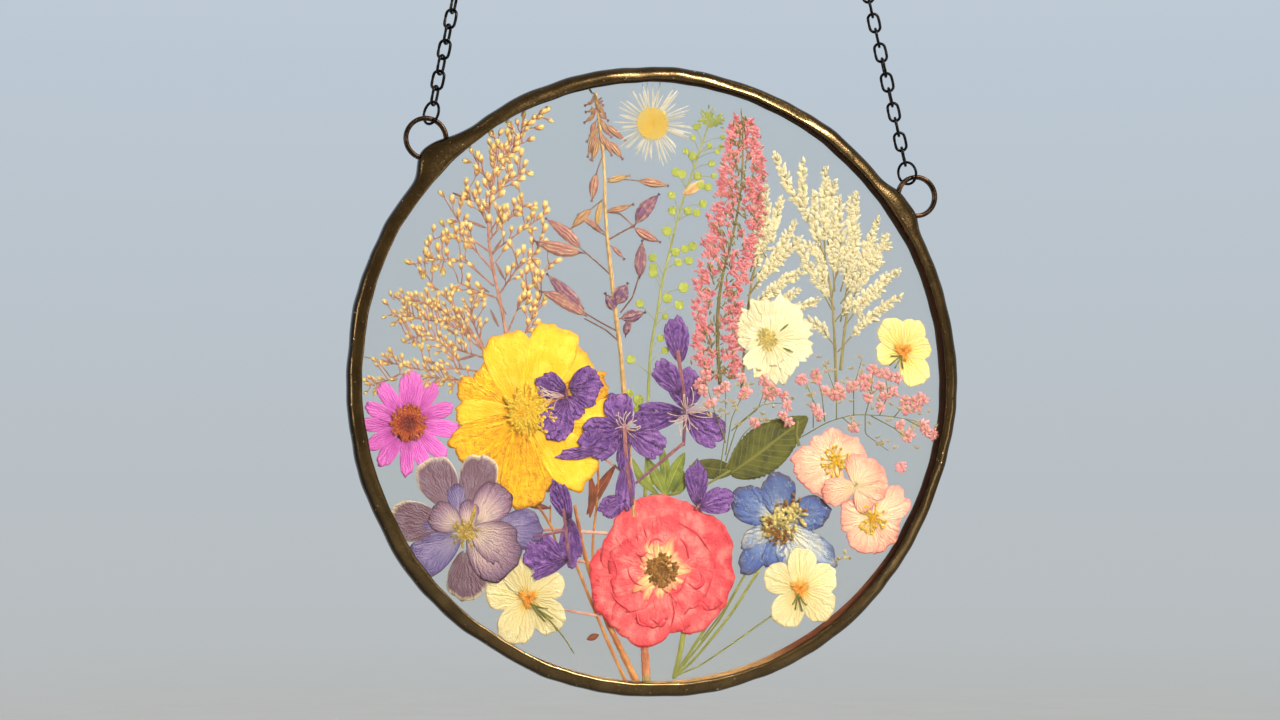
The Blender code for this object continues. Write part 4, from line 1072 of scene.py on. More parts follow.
for width, *points in ROSE_CREASES:
    line = at_depth(smooth_path(points, 16, 3), MID_FRONT - 0.26)
    rose.put(tube(line, width * 0.65 * np.sin(np.pi * np.linspace(0.04, 0.96, 16)), 6, 0.4), 1, width / 1.4)
bloom(rose, ROSE, [(angle, 10.2 + 2.4 * math.sin(angle), 4.6) for angle in range(0, 360, 24)],
    MID_FRONT - 0.26, 5, 3, egg=0.0, ragged=0.05, folds=2, fold=0.04, rows=7, columns=16)
golden = dice(3)
for reach, level in ((4.9, 0.3), (3.6, 0.38), (2.2, 0.46)):
    strands(rose, ROSE, golden.uniform(0, TURN, 50), reach * golden.uniform(0.75, 1.0, 50), 0.26,
        MID_FRONT - level, 2, 3, head=1.0, bow=0.6)
plant(rose, "rose", [rose_finish, rose_fold, brown_anther, throat_star])

# %% [markdown]
# ## Yellow flower
#
# The largest flower has broad notched petals. The upper ones are clean yellow, the lower ones older,
# with orange-brown creases, so it takes two finishes. A tangle of yellow stamens fills the middle.

# %% Yellow cosmos
COSMOS = (-45.0, -11.0)
# Both petal finishes darken at the foot and just before the margin, painted shade of the flower's cup, and
# their dark edge lines are painted shadow where petals overlap.
fresh_yellow = dried("yellow petal", "0 ce8608 0.2 f2b008 0.6 f8c80e 0.9 fcd630 1 f0b824", "5 0.45 ffea5a",
    vein="13 0.3 e29608", edge="0.75 c47e0a", shift="0.35 f6b00e", wander=1.6, glow=0.22, relief=0.3)
old_yellow = dried("creased yellow petal", "0 c47408 0.3 f2ac08 0.8 fcc40c 1 f0b428", "1.8 0.5 ce7c0e",
    vein="15 0.6 b0600a", edge="0.7 aa620c", shift="0.4 fdd828", wander=2.0, glow=0.22)
yellow_stamen = dried("yellow stamen", "0 f6b400 1 ffec50", "0.9 0.3 e89a00", shift="0.3 cc7c00", glow=0.08)
# angle, length, width, depth, finish: the hindmost first
COSMOS_PETALS = ((135, 21.5, 9, 0.26, 1), (156, 24, 8, 0.24, 1), (42, 29.5, 13, 0.26, 0),
    (21, 30.5, 10.5, 0.2, 1), (-26, 25, 12, 0.24, 1), (7, 29.5, 9.5, 0.14, 0), (-112, 25, 10, 0.2, 1),
    (179, 22.5, 8.4, 0.14, 0), (208, 26.5, 11, 0.08, 1), (-66, 27, 10, 0.14, 1), (-90, 31, 13.5, 0.02, 1),
    (-44, 31.5, 14.5, 0.04, 0), (103, 27.5, 15.5, 0.06, 0), (66, 32, 14.5, -0.02, 0))
cosmos = Pile()
for number, (angle, length, width, depth, kind) in enumerate(COSMOS_PETALS):
    cosmos.lay(petal(COSMOS, angle, length, width, MID_FRONT + depth, 1200 + number, egg=0.55, notch=0.05,
        folds=3, fold=0.13, ruffle=0.05, crinkle=0.025 + 0.02 * kind, square=0.9, rows=14, columns=46),
        kind, 1200 + number)
tangle = dice(13)
for level in range(4):
    strands(cosmos, (COSMOS[0] + tangle.uniform(-0.8, 2.0), COSMOS[1] + tangle.uniform(-1.5, 1.5)),
        tangle.uniform(0, TURN, 40), tangle.uniform(2.5, 8.8 - level * 1.4, 40), 0.5,
        MID_FRONT - 0.24 - 0.09 * level, 2, 14 + level, bow=1.6, head=1.0)
plant(cosmos, "yellow_cosmos", [fresh_yellow, old_yellow, yellow_stamen])

# %% [markdown]
# ## Magenta everlasting
#
# Twelve straight petals, each with fine lengthwise stripes, stand round a raised disc of stamens:
# orange at the ring, dark red in the middle.

# %% Magenta everlasting
EVERLASTING = (-82.0, -13.8)
magenta_petal = dried("magenta petal", "0 7a286c 0.34 b844a8 0.6 dc64d0 1 ec7cdc", "2.4 0.35 ec8ce4",
    vein="14 0.5 9e2ea0", edge="0.5 963296", wander=0.8, glow=0.25)
orange_stamen = dried("orange stamen", "0 b23c28 0.6 e06a34 1 f8a858", "0.8 0.3 962c28", shift="0.5 8c2c24",
    glow=0.05)
dark_disc = dried("dark red disc", "0 601a28 1 96342e", "0.8 0.6 be5032")
everlasting = Pile()
bloom(everlasting, EVERLASTING, [(86, 16.4, 7.4), (54, 15.4, 4.8), (21, 15.2, 5.0), (-8, 16.6, 5.4),
    (-42, 16.2, 5.0), (-68, 15.4, 4.6), (-92, 16.8, 4.4), (-124, 16.2, 5.2), (-149, 15.4, 4.8),
    (-178, 15.2, 4.8), (158, 14.8, 4.6), (127, 15.4, 5.2)], MID_BACK, 21, 0, levels=2, egg=0.3, square=0.85,
    ragged=0.02, folds=5, fold=0.07, rows=10, columns=32)
ring_of = np.arange(150)
strands(everlasting, EVERLASTING, ring_of * GOLDEN_ANGLE, 2.6 + 2.9 * np.sqrt(ring_of / 150), 0.3,
    MID_BACK - 0.3, 1, 22, bow=0.3, head=0.62, start=2.0)
places, angles = spiral_of(EVERLASTING, 60, 2.6)
everlasting.put(grains(places, angles, 0.8, 0.6, MID_BACK - 0.34, 0.8), 2)
everlasting.put(stars([EVERLASTING], 11.4, MID_BACK - 0.14, 23, waist=0.95, columns=40, lumps=0.03), 2)
plant(everlasting, "magenta_everlasting", [magenta_petal, orange_stamen, dark_disc])

# %% [markdown]
# ## Lilac larkspur
#
# The larkspur is a double flower. Its outer petals are dusky with a cream rim, the inner ones pale
# lilac, pinkish towards a light patch, with a darker margin where they curl.

# %% Lilac larkspur
dusky_lilac = dried("dusky lilac petal", "0 968692 0.3 7c5e70 0.9 705266 0.96 c8b8a0 1 f0e8c6",
    "4 0.4 928098", vein="16 0.4 543c5c", shift="0.3 8c748e", glow=0.2)
pale_lilac = dried("pale lilac petal", "0 c4b2a0 0.3 dec8c2 0.6 c4a8b2 0.85 92728e 1 624464",
    "4 0.3 8878a0", vein="18 0.4 6c4c6e", edge="0.9 3c223e", glow=0.2, relief=0.8)
blue_lilac = dried("blue lilac petal", "0 aaa0b0 0.4 887eb0 0.8 70649e 1 544274", "4 0.4 a498be",
    vein="16 0.5 544480", edge="0.8 3a264e", glow=0.2, relief=0.8)
ochre_stamen = dried("ochre stamen", "0 c4aa60 1 d6b850", "0.8 0.6 78541e", shift="0.4 785624")
larkspur = Pile()
# foot, angle, length, width, depth, finish
LARKSPUR_PETALS = (((-68, -41), 117, 17.8, 12.5, 0.2, 0), ((-63, -41), 72, 18, 12, 0.24, 0),
    ((-70, -46), 174, 18.4, 12.6, 0.18, 0), ((-64, -54), -86, 16, 12.5, 0.2, 0), ((-65.5, -50), -150, 19.6,
    12, 0.1, 2), ((-66, -44), 96, 11, 6, 0.1, 2), ((-67, -47), -172, 13, 7, 0.12, 2),
    ((-55, -48), 3, 16, 12.5, 0.1, 2), ((-65, -47), 150, 11.5, 9.6, 0.0, 1), ((-61, -46), 50, 15.5, 12,
    -0.02, 1), ((-63, -47.5), 86, 9.5, 6.6, -0.08, 1), ((-62.5, -48), -43, 19, 16.5, -0.1, 1),
    ((-62, -47.5), -26, 16, 13.5, -0.18, 1))
for number, (foot, angle, length, width, depth, kind) in enumerate(LARKSPUR_PETALS):
    larkspur.lay(petal(foot, angle, length, width, FRONT + depth, 3100 + number, ruffle=0.04), kind, number)
cluster = dice(35)
strands(larkspur, (-64, -48.5), cluster.uniform(2.2, 7.2, 40), cluster.uniform(0.8, 4.2, 40), 0.3,
    FRONT - 0.16, 3, 35, head=1.0)
strands(larkspur, (-63.5, -48), cluster.uniform(0, 6.2, 26), cluster.uniform(0.4, 2.6, 26), 0.3,
    FRONT - 0.24, 3, 36, head=1.05)
larkspur.put(petal((-62.5, -47), 76, 8, 1.4, FRONT - 0.2, 37, rows=8, columns=16), 3, 0.1)
plant(larkspur, "lilac_larkspur", [dusky_lilac, pale_lilac, blue_lilac, ochre_stamen])

# %% [markdown]
# ## Blue delphinium
#
# Its petals are deep blue in places and bleached to cream in others, badly crumpled, round a tuft of
# cream and brown anthers.

# %% Blue delphinium
blue_petal = dried("blue petal", "0 e6e0cc 0.28 ccd0d2 0.5 7890c4 0.86 4e66ac 1 5a5262", "4.5 0.45 3e54a2",
    vein="9 0.6 becade", edge="0.6 46405a", wander=2.5, glow=0.2, relief=1.0)
pale_blue = dried("pale blue petal", "0 e2daba 0.45 d6dad8 0.8 96aad0 1 546296", "3.6 0.5 dedac4",
    vein="9 0.6 6076b4", edge="0.5 505064", wander=2.5, glow=0.22, relief=1.0)
cream_anther = dried("cream anther", "0 cdbe78 1 ecd88c", "1 0.75 785c32")
delphinium = Pile()
bloom(delphinium, (41, -45.5), [(94, 15.5, 11.5), (152, 18, 12), (14, 17, 11), (-128, 21, 8.5),
    (-100, 16, 9)], MID_BACK + 0.06, 41, 0, folds=5, fold=0.14, crinkle=0.06, tip=0.04)
bloom(delphinium, (41, -46.5), [(-36, 22.5, 9.5), (-152, 14.5, 7), (-75, 14.5, 8)], MID_BACK - 0.08, 42, 1,
    ragged=0.025, folds=5, fold=0.13, crinkle=0.06, tip=0.06)
tuft = dice(43)
for foot, low, high, count, reach, head, kind in (((40.5, -47), -0.6, 3.4, 34, 6.5, 1.25, 2),
        ((45.5, -44.5), -1.0, 2.6, 16, 3.6, 1.5, 2), ((41, -48.5), 2.6, 6.0, 26, 4.6, 0.9, 3),
        ((44, -42), 0.6, 2.2, 9, 5.0, 1.0, 3), ((38.5, -46.5), 2.2, 4.0, 12, 4.0, 0.8, 3)):
    strands(delphinium, foot, tuft.uniform(low, high, count), tuft.uniform(1.4, reach, count), 0.34,
        MID_BACK - 0.34, kind, 44 + count, bow=1.0, head=head)
plant(delphinium, "blue_delphinium", [blue_petal, pale_blue, cream_anther, brown_anther])

# %% [markdown]
# ## Violas and the cream and white flowers
#
# Three small violas have five rounded cream petals and an orange throat, and the white flower is
# double, with ragged tips. All are lists of petals round a foot, each as angle, length and width.

# %% Violas and white flower
viola_cream = dried("viola petal", "0 e89822 0.16 eebe54 0.34 ecdea4 1 f0e8c2", "4 0.4 e2cd8c",
    vein="12 0.35 c4a454", edge="0.45 ceb874", glow=0.28)
viola_yellow = dried("yellow viola petal", "0 f09e38 0.2 f6c864 0.45 fae48c 1 fcf0b0", "4 0.35 fada82",
    vein="12 0.3 dcac54", edge="0.4 dec06e", glow=0.28)
orange_throat = dried("orange throat", "0 e27e14 1 f6b246", "1.2 0.5 fac864", glow=0.1)
small_green = dried("small green stalk", "0 787c3c 1 929250", "1.5 0.4 5a6028", glow=0.05)
# name, foot, finish, petals, then the green threads over it as angles, length and where they start
VIOLAS = (
    ("left_viola", (-43.5, -69.5), viola_cream, [(113, 14, 9.8), (28, 13, 9), (168, 14, 10.6),
     (-114, 15.5, 11.6), (-42, 14.5, 10.8)], (-40, -48, -30), 8.0, (-43, -71)),
    ("right_viola", (47.3, -67.7), viola_cream, [(84, 13.5, 9.6), (154, 13, 10), (22, 13.5, 10),
     (-38, 14, 11), (-120, 13.5, 11)], (-84, -100, -68, -112), 5.4, (46.8, -69)),
    ("cream_viola", (83.5, 10.5), viola_yellow, [(122, 12, 9.6), (62, 11.5, 9), (188, 9.4, 7.6),
     (8, 10, 7.4), (-58, 12.8, 10)], (-150, -120, -98, -172), 4.8, (83, 9)),
)
for number, (name, foot, finish, petals, threads, length, start) in enumerate(VIOLAS):
    viola = Pile()
    bloom(viola, foot, petals, MID_FRONT, 50 + number, 0, folds=3, fold=0.06)
    viola.put(stars([foot], 2.6, MID_FRONT - 0.1, 56, lobes=5, waist=0.8, lumps=0.03), 1)
    places, angles = spiral_of(foot, 26, 0.7)
    viola.put(grains(places, angles, 2.2 + np.sin(3 * angles), 0.9, MID_FRONT - 0.2, 0.4), 1)
    strands(viola, start, np.radians(threads), length * np.linspace(1.15, 0.8, len(threads)), 0.5,
        MID_FRONT - 0.24, 2, 57)
    if name == "left_viola":
        stem(viola, [(-43, -71), (-36, -77), (-31, -83), (-28.5, -87.3)], 0.8, 0.4, MID_FRONT - 0.1, 2)
    plant(viola, name, [finish, orange_throat, small_green])

white_petal = dried("white petal", "0 dece88 0.3 eee6ba 1 f4f0d4", "4 0.35 f0e4aa", vein="12 0.25 d8ca84",
    edge="0.75 c4b878", glow=0.28, edge_width=0.035)
white_flower = Pile()
WHITE = (37.5, 13.5)
bloom(white_flower, WHITE, [(108, 14.6, 9.4), (64, 15.8, 9.6), (31, 15, 9), (-5, 15, 9.6), (-42, 13.6, 9),
    (-80, 15, 9.2), (-121, 13, 9.2), (168, 11.6, 9), (139, 13.8, 9)], MID_FRONT, 61, 0, step=0.12, egg=0.4,
    notch=0.06, ragged=0.06)
bloom(white_flower, WHITE, [(86, 9.5, 7), (34, 10.5, 7.4), (-26, 10, 7.4), (-80, 8.6, 7), (-150, 8, 7),
    (146, 8.4, 7)], MID_FRONT - 0.18, 62, 0, egg=0.4, notch=0.06, ragged=0.06, fold=0.07, rows=10,
    columns=34)
strands(white_flower, (36.3, 13.8), np.linspace(0, 6.1, 44),
    1.2 + 2.0 * np.abs(np.sin(np.arange(44) * 1.9)), 0.3, MID_FRONT - 0.34, 3, 63, bow=0.7, head=0.7)
for x, z, angle in ((42, 17.5, 40), (43, 12.2, -22)):
    white_flower.put(petal((x - 1.4, z - 1.0), angle, 4.0, 0.7, MID_FRONT - 0.3, 64), 2)
pale_stamen_yellow = dried("pale yellow stamen", "0 e2c86e 1 faec96", "0.9 0.4 d6aa46", shift="0.3 c4a450",
    glow=0.1)
plant(white_flower, "white_flower", [white_petal, yellow_stamen, small_green, pale_stamen_yellow])

# %% [markdown]
# ## Peach blossoms
#
# Three pale blossoms overlap at the right: pink at their margins, cream in the middle, each with a
# small brush of yellow stamens.

# %% Peach blossoms
peach_petal = dried("peach petal", "0 fae2a4 0.4 fadfc0 0.75 f6c6ae 1 f09c92", "4 0.35 fef0dc",
    vein="14 0.4 e89c8c", edge="0.7 e27c86", glow=0.28)
PEACHES = (
    ("upper_peach_blossom", (60, -26), MID_FRONT + 0.05, [(186, 15.5, 12), (118, 11, 12), (62, 10, 11),
     (20, 11, 11), (-118, 13.5, 14)]),
    ("side_peach_blossom", (66.5, -34), FRONT, [(60, 10.5, 13.5), (14, 11.5, 13), (-36, 9.5, 12),
     (196, 12, 9)]),
    ("lower_peach_blossom", (72.5, -45), MID_FRONT - 0.05, [(34, 14.8, 11), (-18, 10.5, 10),
     (-62, 11.5, 11), (-112, 12, 12), (172, 11.5, 11)]),
)
for number, (name, foot, depth, petals) in enumerate(PEACHES):
    peach = Pile()
    bloom(peach, foot, petals, depth, 70 + number, 0, notch=0.04, ragged=0.034, fold=0.12, ruffle=0.05)
    if name != "side_peach_blossom":
        strands(peach, foot, np.linspace(0, 6.1, 30), 2.0 + 2.8 * np.abs(np.sin(np.arange(30) * 2.1)), 0.28,
            depth - 0.22, 1, 73 + number, bow=0.6, head=0.8)
    plant(peach, name, [peach_petal, yellow_stamen], "peach_blossom")

# %% [markdown]
# ## Daisy
#
# Some sixty very thin white rays stand round a yellow disc of tiny florets, which is raised and
# grainy. The florets follow a sunflower spiral, which gives the real disc its even grain.

# %% Daisy
DAISY = (-2.5, 83.5)
ray_white = dried("daisy ray", "0 f6f0d8 1 fcfaf4", "3 0.25 e2dece", edge="0 ffffff", glow=0.4)
daisy_disc = dried("daisy disc", "0 fcd048 0.6 ffee80 1 fffcc0", "1.6 0.5 fcc832", shift="0.4 ce8214")
daisy = Pile()
ray_random = dice(81)
for number in range(58):
    angle = number * 360 / 58 + ray_random.uniform(-5, 5)
    turn = math.radians(angle)
    foot = (DAISY[0] + 4.0 * math.cos(turn), DAISY[1] + 4.0 * math.sin(turn))
    ray = petal(foot, angle + ray_random.uniform(-9, 9), ray_random.uniform(6.2, 10.6),
        ray_random.uniform(0.4, 0.72), MID_FRONT + ray_random.uniform(-0.14, 0.14), 8100 + number, egg=0.1,
        folds=2, fold=0.02, crinkle=0.0, bend=ray_random.uniform(-1.0, 1.0), rows=7, columns=8)
    daisy.lay(ray, 0, number)
places, angles = spiral_of(DAISY, 330, 5.0)
domed = 1 - np.linspace(0, 1, 330)
daisy.strew(grains(places, angles, 0.62, 0.5, MID_FRONT - 0.3 - 0.14 * domed, 0.8), 330, ray_random, 1)
daisy.put(stars([DAISY], 10.2, MID_FRONT - 0.16, 82, waist=0.97, columns=48, lumps=0.02), 1)
plant(daisy, "daisy", [ray_white, daisy_disc])

# %% [markdown]
# ## Fireweed flowers
#
# Five groups of deep violet petals lie across the middle, dried until each is pleated like cloth.
# The pleats are deep folds along the rays, with painted shade in their hollows, and pale curled stamens
# spill over them.

# %% Purple flowers
# The dark veins are painted shade in the hollows of the pleats.
violet = dried("violet petal", "0 602e6e 0.35 5a3086 0.8 643a92 1 8054a8", "1.5 0.5 a074be",
    vein="9 0.85 281048", edge="0.6 341650", shift="0.4 885ca8", wander=2.6, glow=0.12, relief=1.4,
    roughness=0.42)
pale_stamen = dried("pale stamen", "0 c48caa 1 f0decc", "1.5 0.3 faecdc", glow=0.1)
violet_stalk = dried("violet stalk", "0 965c64 1 6e406e", "2 0.5 ba8278")
# name, depth, stalks as (points, width), petals as (x, z, angle, length, width), stamen tufts as
# (x, z, first angle, last angle, count, length)
VIOLETS = (
    ("left_purple_flower", FRONT, [([(-31, -3), (-31, -6.5)], 1.4)], [(-31, -4, 158, 10, 8.4),
     (-30, -3, 22, 10.5, 10), (-31, -6, -114, 13.5, 11.5), (-31, -5, -62, 8, 7), (-29, -4, -8, 8, 8)],
     [(-32, -5, 150, 205, 11, 9)]),
    ("middle_purple_flower", FRONT, [([(-12, -14), (-11.4, -26), (-9.2, -40)], 1.7)],
     [(-12, -15, 203, 14.5, 13.5), (-12, -15, 106, 11, 9.5), (-11, -16, -28, 13.5, 9.5),
     (-18, -22, 188, 15.5, 3.8), (-11, -26, -94, 15.5, 6.4), (-11, -38, 205, 9.5, 7),
     (-12, -17, -92, 12, 4.4)], [(-11.5, -15, -70, 190, 14, 5.5)]),
    ("right_purple_flower", MID_FRONT, [([(6, 10), (8, -4), (8.4, -12), (8, -21)], 1.4),
     ([(8, -20), (-2, -28), (-8, -33)], 1.2)], [(8, -10, 188, 16.5, 9), (9, -11, -32, 14, 11),
     (9, -9, 92, 12.5, 12), (7, -4, 128, 12.5, 8), (7, 6, 98, 14.5, 8)], [(9, -10, -30, 40, 9, 11),
     (9, -11, 180, 300, 10, 7), (9, -9, 40, 150, 6, 5)]),
    ("lower_purple_flower", FRONT, [([(-32, -41), (-31, -50), (-30, -59)], 1.2), ([(-31, -48), (-42, -50)],
     1.0)], [(-30, -45, 112, 13, 6.4), (-30, -44, -88, 15, 7.4), (-31, -58, 160, 14.5, 11.5),
     (-30, -57, 205, 13, 3.8)], []),
    ("small_purple_flower", FRONT, [([(12, -41.5), (13.4, -39.5)], 1.2)], [(12.5, -40.5, 92, 13.8, 7.4),
     (12.5, -40.5, 14, 12, 8.4)], []),
)
for number, (name, depth, stalks, petals, tufts) in enumerate(VIOLETS):
    violets = Pile()
    for order, (x, z, angle, length, width) in enumerate(petals):
        own = 9000 + 20 * number + order
        violets.lay(petal((x, z), angle, length, width, depth + 0.09 * (order % 3 - 1), own, ragged=0.045,
            folds=11, fold=0.16, crinkle=0.09, rows=14, columns=46, tip=0.06), 0, own)
    for points, width in stalks:
        stem(violets, points, width, width * 0.8, depth + 0.1, 1)
    for order, (x, z, first, last, count, length) in enumerate(tufts):
        tuft = dice(9500 + 10 * number + order)
        angles, long = np.radians(np.linspace(first, last, count)), tuft.uniform(0.6, 1.0, count) * length
        strands(violets, (x, z), angles, long, 0.32, depth - 0.22, 2, 9600 + order, bow=0.9, steps=12)
    plant(violets, name, [violet, violet_stalk, pale_stamen], "purple_flower")

# %% [markdown]
# ## Baby's breath
#
# Small pink florets of narrow crumpled petals sit on hair-thin green stalks. Each floret is a fan of
# tiny petals rather than a disc, because their gaps show.

# %% Baby's breath
pink_floret = dried("pink floret", "0 ce5a6c 0.5 ea8494 1 f6acb4", "1.2 0.4 fac4c6", vein="5 0.3 be4660",
    edge="0.5 ce6074", shift="0.4 fac8c8", glow=0.22, edge_width=0.1)
cream_floret = dried("cream floret", "0 aaa060 1 f0deb4", "1.2 0.4 ecb4a0", shift="0.5 a6965a", glow=0.2)
# name, stalks, pink florets as (x, z), buds
SPRIGS = (
    ("gypsophila_left_sprig", [[(20, -30), (22, -16), (22, -8), (22, -1.5)], [(22, -26), (26, -14),
     (35, -7), (43, -7)], [(22, -20), (18, -9), (15, 1)], [(22, -24), (24, -12), (28, -4), (28, 1)],
     [(24, -16), (33, -9), (36, -1)], [(22, -28), (28, -17), (33, -13), (41, -12)]],
     [(15, 2), (17, -7), (22, -1.5), (27.5, 1.5), (28, -4.5), (35, 0.5), (36, -4.5), (39, -3.5), (42, -4.5),
     (43, -7.5), (41.5, -11), (32, -13), (14.5, -3)], [(18.5, 3), (24, -6.5), (31, -1), (33.5, 3.5),
     (38, -8.5), (25.5, -9.5)]),
    ("gypsophila_right_sprig", [[(48, -18), (57, -13), (66, -10.5), (78, -11), (90, -13)],
     [(52, -15), (52, -6), (49, 1)], [(56, -13), (55, -4), (53, 3)], [(60, -12), (60, -4), (56, 6)],
     [(66, -11), (66, -2), (69, 8)], [(70, -11), (72, -4), (73, 5)], [(75, -11), (78, -4), (77, 3)],
     [(80, -11.5), (84, -7), (88, -8)], [(72, -11), (80, -15), (85, -19)], [(84, -12), (90, -15),
     (94, -17)], [(62, -11.5), (65, -14), (67, -16)], [(70, -11), (70, -17), (78, -22.5)]],
     [(48, 1), (53, 2.5), (56, -3), (59, -4), (54, -11), (66, -1), (70, -1.5), (71, -5), (72.5, 4.5),
     (77, 3), (79, 2), (75, -1), (77, -4.5), (75.5, -8), (80, -3), (84, -6), (84.5, -9), (88, -8),
     (66, -15), (82, -14), (84.5, -18), (90.5, -14), (94, -17), (69, 1), (62, -3.5), (87, -6)],
     [(68, 8), (69.5, 5.5), (54, 8), (57, 6), (61, -7), (65, -6.5), (79, -7.5), (72, -9), (86, -15),
     (88, -22), (80, -22), (92, -10), (51, -5)]),
)
for number, (name, stalks, pinks, buds) in enumerate(SPRIGS):
    sprig = Pile()
    breath = dice(90 + number)
    for points in stalks:
        stem(sprig, points, 0.42, 0.26, FRONT + 0.1 + breath.uniform(-0.05, 0.05), 1)
    nearby = [(x + breath.uniform(-2.6, 2.6), z + breath.uniform(-2.2, 2.2))
        for x, z in pinks if breath.uniform() < 0.55]
    for order, (x, z) in enumerate(pinks + nearby):
        count = breath.integers(9, 14)
        for each in range(count):
            angle = each * 360 / count + breath.uniform(-22, 22)
            floret = petal((x, z), angle, breath.uniform(1.5, 2.8), breath.uniform(0.9, 1.5),
                FRONT + breath.uniform(-0.2, 0.1), 9700 + 100 * order + each, notch=0.12, ragged=0.08,
                folds=3, fold=0.06, crinkle=0.03, rows=3, columns=7, thickness=0.06)
            sprig.put(floret, tone=breath.uniform(0, 1))
        hairs = grains((x, z), breath.uniform(0, TURN, 3), breath.uniform(0.8, 1.8, 3), 0.4, FRONT - 0.2)
        sprig.put(hairs, 2)
        near = nearest(np.concatenate(stalks), (x, z))
        if math.dist(near, (x, z)) > 1.2:
            bend = ((near[0] + x) / 2 + 0.5, (near[1] + z) / 2)
            stem(sprig, [near, bend, (x, z)], 0.3, 0.2, FRONT + 0.06, 1)
    bits = [smooth_path(points, 24)[breath.integers(10, 24)] + breath.normal(0, 1.4, 2)
        for points in stalks * 5]
    for place in buds + bits:
        seeds = grains(place, breath.uniform(0.2, 2.9, 4), breath.uniform(0.9, 1.9, 4), 0.45, FRONT)
        sprig.strew(seeds, 4, breath, 2)
    plant(sprig, name, [pink_floret, small_green, cream_floret], "gypsophila")

# %% [markdown]
# ## Veronica spike
#
# A dense spike of salmon-pink flowers with brown-green leaflets between them along its axis. More
# than five hundred small crumpled flowers are set beside the bent axis, the widest in the middle, in
# rows that point up and outwards.

# %% Veronica
veronica_pink = dried("veronica pink", "0 cc5264 0.5 e87282 1 f496a0", "1.5 0.35 f8aab0",
    vein="6 0.3 be465a", edge="0.4 fabebe", shift="0.5 fab8ba", glow=0.22, edge_width=0.15)
veronica_green = dried("veronica leaflet", "0 6a663a 1 a09260", "1.5 0.4 aa8c6e")
VERONICA_AXIS = [(20.5, -1), (19.5, 12), (19.5, 22), (21, 34), (25, 48), (27.5, 60), (28.5, 74), (28, 88)]
# how far the flowers reach from the axis, in millimetres, at these shares of its length
VERONICA_REACH = ([0, 0.1, 0.35, 0.6, 0.8, 0.93, 1], [6.2, 8.0, 8.6, 9.2, 7.2, 4.6, 1.6])
VERONICA_FLOWERS, VERONICA_LEAFLETS = 560, 300
veronica = Pile()
chance = dice(101)
axis_line = smooth_path(VERONICA_AXIS, 120, 8)
stem(veronica, VERONICA_AXIS, 1.4, 0.5, MID_BACK + 0.12, 1)
count = VERONICA_FLOWERS
share = np.linspace(0.01, 0.97, count)
spots, heading = along(axis_line, share)
out = np.interp(share, *VERONICA_REACH) * np.sqrt(chance.uniform(0, 1, count))
angle = heading + both_sides(count) * np.radians(chance.uniform(50, 90, count))
places = spots + toward(angle) * out[:, None]
veronica.strew(stars(places, chance.uniform(2.3, 3.5, count), MID_BACK + chance.uniform(-0.24, 0.12, count),
    102, waist=0.5, lumps=0.2), count, chance)
veronica.strew(grains(places, angle + chance.uniform(-0.9, 0.5, count), chance.uniform(1.2, 2.4, count),
    chance.uniform(0.4, 0.8, count), MID_BACK - 0.22, 0.4), count, chance)
count = VERONICA_LEAFLETS
share = chance.uniform(0.02, 1.0, count)
wide = np.interp(share, *VERONICA_REACH)[:, None] * 0.42
places = along(axis_line, share)[0] + chance.normal(0, 1, (count, 2)) * wide * [1.0, 0.3]
angle, long = np.radians(90 + chance.uniform(-60, 60, count)), chance.uniform(1.2, 2.6, count)
wide, level = chance.uniform(0.4, 0.75, count), MID_BACK - 0.3 + chance.uniform(-0.08, 0.08, count)
veronica.strew(grains(places, angle, long, wide, level, 0.4), count, chance, 1)
plant(veronica, "veronica_spike", [veronica_pink, veronica_green])

# %% [markdown]
# ## Statice plumes
#
# Cream papery florets overlap along stiff twigs like grains on an ear of wheat. Each is a small
# blunt bud set at a slant, on alternating sides.

# %% Statice
statice_cream = dried("statice floret", "0 b0a068 0.4 ece2ba 1 fcf8e4", "1.6 0.35 d8cea0",
    vein="4 0.35 a89660", shift="0.4 cec496", glow=0.2, tone=0.16)
statice_stem = dried("statice stem", "0 928a58 1 beac78", "2 0.4 787042")
BUDS_PER_MM = 1.55
